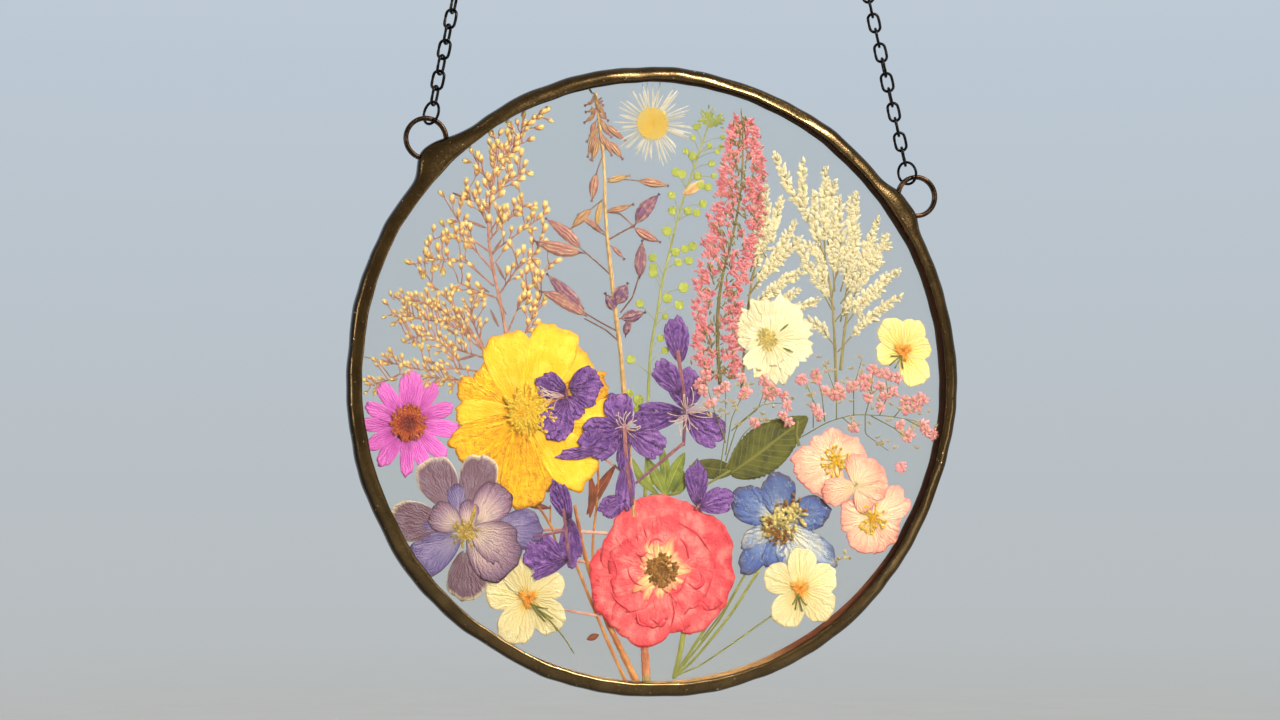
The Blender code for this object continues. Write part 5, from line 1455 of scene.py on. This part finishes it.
# name, stalks, then the twigs that bear the buds
STATICE = (
    ("statice_right_plume", [[(60.5, -2), (60, 14), (59, 30), (55, 47), (48, 60), (44, 66)],
     [(62, 4), (63.5, 18), (66, 32), (67, 44)]], [[(52, 52), (45, 62), (39.5, 75)],
     [(54, 46), (49, 58), (49, 73)], [(57, 38), (56, 54), (57, 70.5)], [(59, 28), (62, 44), (61.5, 61)],
     [(62, 20), (66, 40), (67.5, 63)], [(64, 30), (71, 44), (75, 54)], [(63, 22), (72, 38), (78.5, 49)],
     [(63, 18), (72, 30), (82, 37)], [(61, 10), (70, 20), (83, 29)], [(59, 24), (52, 36), (46, 47)],
     [(60, 12), (55, 18), (50, 20)], [(60, 20), (66, 27), (69, 22)], [(60, 34), (66, 48), (65, 60)],
     [(66, 32), (76, 44), (79, 46)], [(57, 40), (53, 50), (53, 62)], [(60, 30), (59, 44), (60, 56)],
     [(62, 26), (68, 34), (76, 40)], [(58, 34), (54, 42), (50, 46)], [(60, 24), (56, 32), (55, 42)],
     [(62, 30), (65, 40), (68, 50)], [(58, 44), (57, 54), (60, 66)], [(63, 22), (70, 27), (77, 32)],
     [(64, 34), (70, 40), (74, 48)]]),
    ("statice_left_plume", [[(28, -2), (29, 12), (30.5, 28), (34, 44), (36, 54)]],
     [[(33, 41), (36, 50), (36, 64)], [(33, 38), (38, 48), (41.5, 60)], [(31, 29), (38, 39), (48, 46.5)],
     [(30.4, 24), (40, 32), (52, 38)], [(29.5, 16), (42, 22), (54, 27)], [(32, 34), (40, 42), (46, 52)],
     [(30, 28), (36, 36), (42, 40)], [(31, 33), (34, 42), (37, 52)], [(30, 22), (36, 28), (44, 34)],
     [(30, 20), (38, 24), (47, 30)], [(31, 36), (34, 48), (33, 58)]]),
)
for number, (name, stalks, twigs) in enumerate(STATICE):
    plume = Pile()
    paper = dice(110 + number)
    for points in stalks:
        stem(plume, points, 1.2, 0.5, BACK + 0.06, 1)
    for points in twigs:
        line = smooth_path(points, 40)
        stem(plume, points, 0.6, 0.3, BACK + 0.02, 1)
        count = int(steps_of(line).sum() * BUDS_PER_MM)
        share = np.linspace(0.28, 1, count)
        spots, heading = along(line, share)
        lean = both_sides(count) * np.radians(paper.uniform(18, 52, count)) * np.where(share > 0.95, 0.3, 1)
        plump = 1 - 0.3 * np.abs(share - 0.6) / 0.4
        for stray, turn, long, level in ((0.25, 1.0, 2.9, -0.1), (0.5, 1.4, 1.6, -0.22)):
            feet, size = spots + paper.normal(0, stray, (count, 2)), long * plump
            tall, wide = size * paper.uniform(0.8, 1.2, count), 0.5 * size * paper.uniform(0.75, 1.2, count)
            depth = BACK + level + paper.uniform(-0.08, 0.1, count)
            plume.strew(grains(feet, heading + lean * turn, tall, wide, depth, 0.4), count, paper)
    plant(plume, name, [statice_cream, statice_stem], "statice")

# %% [markdown]
# ## Goldenrod sprays
#
# Pinkish twigs end in small heads, each a yellow bud in pink-brown bracts. The twigs are listed.
# The heads are scattered round the outer part of each, never too close together, and each gets its
# own stalk back to the nearest twig.

# %% Goldenrod
twig_pink = dried("goldenrod twig", "0 9e6c5c 1 c88e7a", "2 0.5 deae9c")
twig_leaf = dried("goldenrod leaf", "0 967068 1 b08474", "2 0.5 806064", glow=0.1)
head_cup = dried("goldenrod bract", "0 a66854 0.5 c48a60 1 cea05a", "1.2 0.4 eccc8c", vein="6 0.5 a87442",
    shift="0.4 d69674", glow=0.05)
head_floret = dried("goldenrod floret", "0 cea054 0.35 f0d876 1 fcf0a4", "1.2 0.4 fff8c8",
    vein="7 0.4 c89650", shift="0.45 dca65a", glow=0.1)
UPPER_TWIGS = [[(-46, -8), (-50, 10), (-51.5, 22), (-55, 35), (-56.8, 48), (-55.6, 60), (-54.6, 67),
    (-51, 73), (-46, 79), (-41.5, 84), (-37.3, 88.2)], [(-54.6, 67), (-53.6, 74), (-55, 80)],
    [(-53, 70), (-48, 74), (-45.5, 76)], [(-55.6, 61), (-58, 66), (-61, 71)], [(-56.4, 54), (-60.5, 57),
    (-68.5, 58.2)], [(-56.8, 50), (-60, 56), (-63, 62)], [(-56, 58), (-52, 62), (-46, 66.5)],
    [(-56.5, 44), (-51, 51), (-43, 57)], [(-56, 40), (-48, 46), (-37, 54)], [(-53, 27), (-47, 36),
    (-41, 40), (-39, 47)], [(-50.6, 14), (-45, 27), (-36, 38)], [(-49, 4), (-43, 18), (-39, 27)],
    [(-56, 41), (-62, 45), (-67, 52)], [(-55, 35), (-62, 43), (-70, 46.5), (-76, 43.5)],
    [(-54.5, 30), (-64, 38), (-73, 38.5), (-80.5, 36.5)], [(-53, 26), (-59, 28), (-66, 31)],
    [(-56.5, 46), (-53, 52), (-50, 51)]]
LOWER_TWIGS = [[(-49, -5), (-54, 5), (-60, 13), (-66, 18), (-75, 24), (-87, 26)], [(-60, 13), (-70, 18),
    (-87, 20.5)], [(-60, 13), (-66, 22), (-75, 31)], [(-56, 8), (-64, 14), (-68, 24)],
    [(-54, 6), (-68, 10), (-76, 15), (-83, 12)], [(-52, 1), (-66, 4), (-77, 2.5), (-84, 4.5), (-96, 7)],
    [(-51, -1), (-66, 0), (-78, 1)], [(-58, 11), (-62, 20), (-60, 27)], [(-66, 2), (-68, 8), (-71, 12)],
    [(-85, 1.5), (-89, -0.5), (-94, -1.8)]]


def goldenrod(name, twigs, crowd, size, root, leaves, seed):
    """Twigs, then heads round the outer part of each, about crowd of them per millimetre, with stalks."""
    spray = Pile()
    chance = dice(seed)
    lines = [smooth_path(points, 60, 6) for points in twigs]
    for number, points in enumerate(twigs):
        thick, thin, count = (0.7, 0.35, 20) if number else (1.5, 0.5, 30)
        stem(spray, points, thick, thin, BACK + chance.uniform(-0.06, 0.06), 0, count)
    every = np.concatenate(lines)
    places = []
    for number, line in enumerate(lines):
        count = int(steps_of(line).sum() * crowd)
        share = np.sqrt(chance.uniform(0.12 if number else 0.36, 1, count))
        spots = along(line, share)[0] + chance.normal(0, 1.0, (count, 2)) * [1.6, 1.8]
        for spot in spots:
            if all(math.dist(spot, other) > 1.3 * size for other in places) and np.linalg.norm(spot) < 95.5:
                places.append(spot)
    print(name, len(places), "heads")
    for place in places:
        out = place - root
        lean = out / np.linalg.norm(out) * 0.6 + np.array([0.0, 0.5])
        foot = nearest(every, place - chance.uniform(1.6, 4.0) * lean)
        if np.linalg.norm(place - foot) < 1.0:
            foot = foot - lean
        middle = (place + foot) / 2 + chance.uniform(-0.5, 0.5, 2)
        depth = BACK + chance.uniform(-0.2, 0.1)
        path = at_depth(smooth_path([foot, middle, place], 7, 2), depth)
        spray.put(tube(path, 0.24, 4), tone=chance.uniform(0, 1))
        angle = math.atan2(*(place - middle)[::-1]) + chance.uniform(-0.3, 0.3)
        scale = size * chance.uniform(0.8, 1.15)
        ahead = toward(angle)
        head = grains(place - 0.3 * ahead, angle, 2.5 * scale, 1.8 * scale, depth, 0.4, 8)
        spray.put(head, 2, chance.uniform(0, 1))
        fan = angle + np.array([-0.36, 0.0, 0.36])
        spray.strew(grains(place - 0.5 * ahead, fan, np.array([2.0, 1.4, 2.0]) * scale, 0.5 * scale,
            depth - 0.28 * scale), 3, chance, 1)
        spray.strew(grains(place + 1.5 * scale * ahead, 2 * fan - angle, 0.9 * scale, 0.5 * scale,
            depth - 0.1, rings=4), 3, chance, 2, 0.4)
    for x, z, angle in leaves:
        long = chance.uniform(4.6, 7.0)
        spray.put(grains((x, z), math.radians(angle), long, 1.1, BACK - 0.1, 0.3, 8, 9), 3)
    plant(spray, name, [twig_pink, head_cup, head_floret, twig_leaf], "goldenrod")


goldenrod("goldenrod_upper_spray", UPPER_TWIGS, 1.1, 1.1, np.array([-52.0, 6.0]),
    [(-50.5, 21, 122), (-56, 28, 152), (-68, 59.5, -22), (-53, 17, 116), (-57, 48.5, 160), (-47, 24, 40),
    (-51, 32, 118), (-55, 40, 60)], 120)
goldenrod("goldenrod_lower_spray", LOWER_TWIGS, 1.5, 0.82, np.array([-48.0, -4.0]),
    [(-60, 8, 196), (-66, 14, 150), (-72, 5, 170)], 121)

# %% [markdown]
# ## Fireweed spike
#
# The long tan stem carries pods on fine stalks, small and tan at the top, larger and dusky pink to
# purple below. Each is one strand that swells after its stalk, and its tone picks its colour.

# %% Fireweed spike
pod_finish = dried("fireweed pod", "0 ceac70 0.35 b2806c 0.7 a8707a 1 704674", "1.8 0.5 d4b086",
    vein="7 0.6 6e3e42", wander=0.6, glow=0.06, by_tone=True, tone=0.0, relief=1.0)
tan_stem = dried("tan stem", "0 b08450 1 d6ba80", "1.8 0.55 966a4a", vein="6 0.65 7c5430", wander=0.4)
SPIKE_STEM = [(-6.5, -70), (-9, -40), (-10.5, -20), (-11.8, -4), (-13, 10), (-15, 24), (-16, 34),
    (-17.5, 46), (-18.3, 58), (-18.2, 68), (-19.3, 77), (-20.5, 86), (-21.2, 93)]
# x and z where it leaves the stem, angle, length with its stalk, width, share that is stalk, tone
PODS = [(-21, 90, -58, 5, 1.8, 0.1, 0.3), (-20.8, 88, 200, 3.5, 1.4, 0.1, 0.2), (-20, 85, -40, 11, 2.6, 0.3,
    0.4), (-20, 83, 250, 11, 2.0, 0.3, 0.3), (-19.3, 79, -46, 9.5, 3.0, 0.3, 0.35),
    (-19.4, 80, -112, 9, 2.0, 0.3, 0.2), (-18.8, 73, -104, 15, 3.6, 0.45, 0.5), (-17.5, 64, 18, 7.5, 2.6,
    0.05, 0.1), (-17.5, 65.3, -5, 20, 3.4, 0.55, 0.35), (-17.5, 55, 14, 8.5, 2.4, 0.05, 0.3),
    (-17.6, 45, 30, 10, 1.2, 0.9, 0.6), (-8.5, 50, 52, 13, 5.4, 0.1, 0.95), (-9, 50, -28, 10, 3.6, 0.1,
    0.55), (-18.2, 59, 222, 15, 3.4, 0.4, 0.25), (-17, 44, -42, 6.5, 1.8, 0.2, 0.6),
    (-17.8, 47.5, 148, 10.5, 2.4, 0.15, 0.6), (-25.8, 42, 140, 15, 4.4, 0.05, 0.62),
    (-24.5, 41, 168, 17, 5.2, 0.1, 0.55), (-25, 23, 138, 16, 5.0, 0.05, 0.9), (-24, 20.5, 152, 17, 5.2,
    0.05, 0.62), (-6.6, 33, 86, 12, 4.6, 0.05, 0.9), (-14.6, 24, 62, 8, 6.0, 0.1, 1.0),
    (-14.8, 22, 118, 6.5, 4.2, 0.1, 1.0), (-13.5, 20, 14, 8.5, 4.8, 0.1, 1.0), (-11.4, 14, 74, 6.5, 3.0,
    0.1, 1.0)]
# thin stalks that reach a pod from the stem
POD_STALKS = [[(-16, 34), (-20, 37.5), (-25.5, 42)], [(-14, 16), (-20, 19), (-26, 22.5)],
    [(-13.8, 13), (-18, 16.5), (-25, 20)], [(-13, 22), (-9, 27), (-6.8, 34)], [(-17.5, 54.5), (-13, 54),
    (-8.5, 50)], [(-17, 45.5), (-12, 48.5), (-8.8, 50)], [(-18, 47), (-22, 49), (-25, 53)]]


def pod(number, x, z, angle, length, width, stalk, tone, depth=MID_BACK - 0.06):
    """A strand that is thin for its stalk and then swells and closes, with a small torn tip."""
    turn, share = math.radians(angle), np.linspace(0, 1, 18)
    bow = 0.05 * length * math.sin(number * 1.9) * np.sin(np.pi * share)
    ahead, aside = spun(share * length, bow, turn)
    path = at_depth(np.column_stack([x + ahead, z + aside]), depth + 0.04 * math.sin(number * 2.7))
    swell = width * 0.45 * np.sin(np.pi * np.clip((share - stalk) / (1 - stalk), 0, 1) ** 0.85) ** 0.8
    swell = np.maximum(swell * (1 + 0.05 * np.sin(share * 40 + number)), 0.2)
    spike.put(tube(path, swell, 12, 0.26 if width > 4 else 0.4), tone=tone)
    spike.put(grains(path[-1, [0, 2]], turn + np.array([-0.5, 0, 0.5]), 0.9, 0.5, MID_BACK - 0.05),
        tone=min(1.0, tone + 0.2))


spike = Pile()
stem(spike, SPIKE_STEM, 2.2, 0.9, MID_BACK + 0.02, 1, count=60)
for points in POD_STALKS:
    stem(spike, points, 0.6, 0.5, MID_BACK + 0.02, 0)
for number, size in enumerate(PODS):
    pod(number, *size)
# the crowded top: buds that hang to both sides
for number in range(15):
    up, side = 79.5 + 0.9 * number, 1 if number % 2 else -1
    angle = -90 + side * (22 + 3.2 * number) * (0.8 + 0.3 * math.sin(number * 1.7))
    tone = 0.2 + 0.3 * math.sin(number * 2.3) ** 2
    pod(number, -19.4 - 0.14 * (up - 77), up, angle, 8.4 - 0.42 * number, 2.5 - 0.1 * number, 0.25, tone,
        MID_BACK - 0.12)
bristle = dice(131)
tops = np.column_stack([bristle.uniform(-22.6, -20.0, 12), bristle.uniform(86.5, 93, 12)])
spike.put(grains(tops, np.radians(90 + bristle.uniform(-60, 60, 12)), bristle.uniform(1.4, 2.6, 12), 0.7,
    MID_BACK - 0.1), tone=0.15)
strips = at_depth(smooth_path([(-21, 49.5), (-20.6, 53), (-19.4, 58)], 12), MID_BACK - 0.12)
spike.put(tube(strips, 1.2 * np.sin(np.pi * np.linspace(0.06, 0.94, 12)), 10, 0.25), tone=0.05)
plant(spike, "fireweed_spike", [pod_finish, tan_stem])

# %% [markdown]
# ## Pepperweed
#
# Round flat seed pods, each with a raised rim, hang on hair-thin stalks from a green stem, and a
# head of unripe buds closes the top.

# %% Pepperweed
pod_green = dried("pepperweed pod", "0 a0ac4a 0.6 96a43e 0.85 6a7a28 1 8c9646", "1.4 0.4 c4c860",
    vein="2 0.3 788228", edge="0.3 646e28", glow=0.15)
green_thread = dried("pepperweed stem", "0 96a050 1 a6ac64", "2 0.4 beb878")
leaf_tan = dried("dry tan leaf", "0 6e605a 0.2 cea06e 1 e2ba88", "1.6 0.4 ecc896", vein="8 0.4 aa784c",
    glow=0.15)
PEPPER_STEM = [(-4.7, -38), (-4, -20), (-3.7, -7), (-3, 10), (-1, 20), (1, 32), (3.5, 42), (6, 52), (9, 62),
    (12, 70), (15, 79), (17.5, 86)]
PEPPER_PODS = [(11.5, 79.5, 1.0), (12.5, 83, 1.2), (21.5, 80, 0.9), (17, 77, 1.0), (21, 76.8, 0.9),
    (19.8, 75.2, 1.0), (9, 75, 1.1), (11.3, 73.5, 1.5), (17.8, 71.2, 1.2), (5.7, 68, 1.5), (7.8, 67.5, 1.5),
    (13, 67, 1.4), (18.5, 67.2, 1.0), (14, 64, 1.3), (16.5, 63.5, 1.4), (4.2, 60.5, 1.3), (14.8, 58, 1.4),
    (4.5, 55.5, 1.5), (9.7, 55.5, 1.4), (12.7, 55, 1.4), (2.7, 48.8, 1.7), (11.3, 44, 1.5),
    (8.7, 43.1, 1.4), (5.5, 42, 1.5), (-2.2, 40, 1.4), (10, 39.3, 1.5), (6.5, 38.7, 1.4), (-2, 36.8, 1.4),
    (-2, 35, 1.5), (8.2, 30.5, 1.8), (2.8, 27, 1.7), (6.8, 24.8, 1.6), (-6.5, 25, 1.4), (-9.5, 7, 1.5),
    (2, 10, 1.3), (0.5, 14, 1.3), (-7, -6, 1.8), (-7, -9, 1.6), (-10, -4, 1.4), (2, 21, 1.1),
    (-2.5, -32, 1.6), (2, -34, 1.7)]
pepper = Pile()
seeds = dice(141)
stem(pepper, PEPPER_STEM, 1.2, 0.55, BACK, 1, count=50)
stem_line = smooth_path(PEPPER_STEM, 200, 8)
for x, z, radius in PEPPER_PODS:
    foot = nearest(stem_line, (x, z - 4.5))
    reach = np.array([x, z]) - foot
    end = np.array([x, z]) - reach / np.linalg.norm(reach) * radius * 0.8
    stem(pepper, [foot, foot + reach * 0.5 + [0.0, 0.5], end], 0.3, 0.24, BACK, 1)
    depth = BACK - 0.12 + seeds.uniform(-0.06, 0.06)
    turn = circle(20)
    notch = 1 - 0.12 * np.exp(-((turn - np.pi / 2) / 0.25) ** 2)
    reaches = np.outer([0.12, 0.55, 0.8, 0.93, 1.0, 0.8, 0.12], notch) * radius
    lift = np.array([-0.14, -0.12, -0.09, -0.17, 0.0, 0.1, 0.12])
    pepper.put(turned(reaches, depth + lift, turn, False, (x, z)), tone=seeds.uniform(0, 1))
angles = seeds.uniform(-0.4, np.pi + 0.4, 60)
reach = seeds.uniform(0.5, 4.2, 60)
tops = np.column_stack([17.5 + reach * np.cos(angles), 84.5 + reach * np.sin(angles) * 1.15])
pepper.put(grains(tops, angles + seeds.uniform(-0.5, 0.5, 60), seeds.uniform(0.9, 1.5, 60), 0.7,
    BACK - 0.1 + seeds.uniform(-0.08, 0.08, 60)))
for angle, length in zip(np.linspace(0.1, np.pi - 0.1, 11), 3.2 + np.abs(np.sin(np.arange(11)))):
    tip = (17.4 + length * math.cos(angle), 84.5 + length * math.sin(angle))
    stem(pepper, [(17.4, 83), tip], 0.3, 0.2, BACK, 1)
pepper.put(petal((8, 60.6), 33, 8.6, 3.0, BACK - 0.2, 142, egg=0.1, folds=2, fold=0.08), 2)
plant(pepper, "pepperweed_spike", [pod_green, green_thread, leaf_tan])

# %% [markdown]
# ## Leaves and stems
#
# A broad green leaf lies right of the middle, narrow ones below the flowers, and the cut stems gather
# at the bottom. A leaf's side veins leave its midrib at a slant, so it is a strip along a line and
# not a fan.

# %% Leaves and stems
LEAF_THICKNESS = 0.1


def blade(points, width, depth, seed, fullest, teeth, rows=40, columns=15, fold=0.1):
    """A leaf: a strip along a smooth line. Its width is a sine wave bent so that it is fullest at
    this share, the margin has small teeth, and the two halves lie slightly folded at the midrib."""
    line = smooth_path(points, rows, 6)
    share = np.linspace(0.015, 0.985, rows)
    swell = np.sin(np.pi * share ** (math.log(0.5) / math.log(fullest))) ** 0.8
    swell = np.maximum(swell * (1 + teeth * np.abs(np.sin(share * 60))), 0.03)
    ahead = np.gradient(line, axis=0)
    ahead /= np.linalg.norm(ahead, axis=1, keepdims=True)
    normal = np.column_stack([-ahead[:, 1], ahead[:, 0]])
    across = np.linspace(-1, 1, columns)
    x, z = (line[:, axis, None] + normal[:, axis, None] * swell[:, None] * across * width / 2
        for axis in (0, 1))
    side_vein = 0.05 * np.sin((share[:, None] - 0.22 * np.abs(across)) * 75) * np.abs(across) ** 0.5
    relief = fold * np.exp(-(across / 0.12) ** 2) + side_vein + 0.04 * wrinkles(x, z, 3.5, seed)
    uv = np.stack(np.broadcast_arrays(across[None] / 2 + 0.5, share[:, None]), -1)
    return shell(np.stack([x, depth + relief, z], -1), LEAF_THICKNESS, uv)


def leaf_finish(name, dark, middle, light, glow=0.12):
    """A leaf: darker between its veins, with a light midrib and slanting side veins from its UV map."""
    made, tree = new_material(name)
    coordinates = add(tree, "TexCoord").outputs
    form = add(tree, "SeparateXYZ", {0: coordinates["UV"]}).outputs
    off_rib = sums(tree, "ABSOLUTE", sums(tree, "SUBTRACT", form["X"], 0.5))
    mark = use_group(tree, marks, {"Form": coordinates["UV"], "Position": coordinates["Object"],
        "Blotch size": 4.0})
    slant = times(tree, times(tree, off_rib, -0.44, form["Y"]), 75.0)
    side = rise(tree, sums(tree, "SINE", slant), 0.8, 1.0, 0.5)
    rib = rise(tree, off_rib, 0.05, 0.01, 0.8)
    colour = mix(tree, mark["Blotch"], tint(middle), tint(dark))
    colour = mix(tree, sums(tree, "MAXIMUM", side, rib), colour, tint(light))
    relief = bumps(tree, mark["Relief"], 0.4, LEAF_RELIEF)
    clothe(tree, {"Base Color": colour, "Roughness": 0.65, "Normal": relief}, glow)
    return made


olive_leaf = leaf_finish("olive leaf", "3a3e06", "5a5c0e", "828032", 0.25)
brown_leaf = leaf_finish("red-brown leaf", "542214", "7e3820", "aa643c")
fern_leaf = leaf_finish("narrow leaf", "54641e", "7c8a30", "a0a854")
leaf = Pile()
leaf.put(blade([(24, -30), (33, -24), (41, -18), (50.5, -11.5)], 14.5, BACK, 151, 0.42, 0.1))
leaf.put(blade([(11, -27), (18, -28.5), (26, -29)], 6.5, BACK + 0.12, 152, 0.5, 0.04, 24), tone=0.3)
stem(leaf, [(10, -36), (17, -33), (24, -29)], 1.0, 0.8, BACK, 1)
stem(leaf, [(47.5, -21), (46.5, -17), (47, -12.5)], 1.2, 0.8, BACK - 0.15, 1)
plant(leaf, "green_leaf", [olive_leaf, small_green])

middle = Pile()
for number, (points, width) in enumerate((([(2, -37), (-1, -31), (-4, -25)], 3.8),
        ([(2, -37), (5, -30), (8.5, -23)], 4.6), ([(2, -37), (2, -28), (0.5, -20)], 3.4),
        ([(5, -36), (10, -31), (13, -25)], 3.4), ([(0, -37), (-6, -32), (-9, -25)], 2.8),
        ([(4, -37), (7, -34), (8, -29)], 4.0))):
    middle.put(blade(points, width, MID_BACK + 0.08 * (number % 3), 160 + number, 0.5, 0, 24, 9, 0.06))
stem(middle, [(-3, -37), (2, -37), (7, -36)], 1.2, 1.0, MID_BACK, 1)
plant(middle, "middle_leaves", [fern_leaf, small_green])

green_stem_finish = dried("green stem", "0 828a3e 1 96984a", "3 0.5 787632", vein="5 0.5 5c6424")
greens = Pile()
for points, thick, thin in (([(5, -96), (7, -88), (8.5, -80)], 1.6, 2.0),
        ([(4.5, -96), (12, -90), (24, -76), (34, -61)], 0.9, 1.0), ([(6, -94), (17, -78), (25, -65)], 1.1,
        0.9), ([(8, -92), (20, -78), (29, -63)], 0.8, 0.7), ([(5, -95.5), (14, -92), (28, -83), (43, -73)],
        0.6, 0.6), ([(14, -84), (22, -74), (30, -61)], 0.6, 0.6)):
    stem(greens, points, thick, thin, BACK + 0.04 * math.sin(points[0][0] * 3), 0)
plant(greens, "green_stems", [green_stem_finish])

brown_stem_finish = dried("brown stem", "0 be7e42 1 9c5834", "3 0.55 d69c5a", vein="5 0.55 6e381e")
reddish_stem = dried("reddish stem", "0 88823c 0.25 b06842 1 964c3c", "2.4 0.5 ce966e", vein="5 0.5 642c24")
pink_stalk = dried("pink stalk", "0 e2b0a0 1 c47878", "2 0.4 f0cebe", glow=0.05)
browns = Pile()
for points, thick, thin, kind in (([(-7.5, -97), (-12, -88), (-17, -78)], 2.4, 2.0, 0),
        ([(-4.2, -97), (-4.6, -90), (-5.2, -82)], 3.0, 2.6, 1),
        ([(-11, -97), (-17, -84), (-23, -70), (-27, -60), (-32, -50)], 1.2, 1.0, 0),
        ([(-17, -78), (-21, -68), (-25, -55), (-28, -40)], 1.9, 1.2, 0),
        ([(-19, -74), (-22, -64), (-22, -50), (-20, -34), (-21, -18)], 1.0, 0.8, 0),
        ([(-17, -49), (-27, -48.5), (-36, -47.5), (-43, -49)], 1.3, 0.8, 2),
        ([(-18, -58.5), (-27, -58), (-33, -57.5)], 1.2, 0.8, 2),
        ([(-19.5, -75.5), (-26, -74.5), (-33, -73)], 1.2, 0.7, 2), ([(-35, -48), (-38, -43), (-41, -39)],
        1.0, 0.8, 0), ([(-8, -33), (-14, -28), (-20, -24)], 0.9, 0.7, 2),
        ([(-34, -52), (-36, -46), (-36, -40)], 0.8, 0.6, 0)):
    stem(browns, points, thick, thin, BACK + 0.05 * math.sin(points[0][1] * 2), kind)
for points, width, seed in (([(-24, -43), (-20, -35), (-14.5, -27)], 3.4, 171),
        ([(-46, -38.5), (-41, -40), (-36, -41)], 2.2, 172), ([(-23, -44), (-22, -36), (-23, -30)], 2.6,
        173), ([(-24, -83), (-20, -81.5)], 2.2, 174)):
    browns.put(blade(points, width, BACK - 0.14, seed, 0.5, 0, 20, 9, 0.06), 3)
plant(browns, "brown_stems", [brown_stem_finish, reddish_stem, pink_stalk, brown_leaf])

# %% [markdown]
# ## Loose bits
#
# A floret that came off the baby's breath lies at the right, and a sprig of seeds beside the lower
# viola. Being so small, they have no solid of their own.

# %% Loose bits
loose = Pile()
crumb = dice(181)
for number in range(9):
    loose.lay(petal((82.5, -28), number * 40 + crumb.uniform(-14, 14), crumb.uniform(1.6, 2.6), 1.1,
        FRONT + crumb.uniform(-0.1, 0.1), 1810 + number, notch=0.1, ragged=0.08, rows=5, columns=10,
        thickness=0.06), 0, number)
stem(loose, [(58.5, -60), (60.5, -58.8), (63.5, -57)], 0.4, 0.3, BACK, 1)
loose.put(grains([(62.5, -57.8), (63, -56.6), (61.6, -58.4), (64, -57.6), (60.2, -59.2), (58.8, -60.2)],
    np.radians([20, 70, 140, -20, 60, 200]), 1.6, 1.0, BACK - 0.1), 2)
loose.press()
loose.finish("loose_floret_and_seeds", [pink_floret, small_green, cream_anther], "panel", "gypsophila")
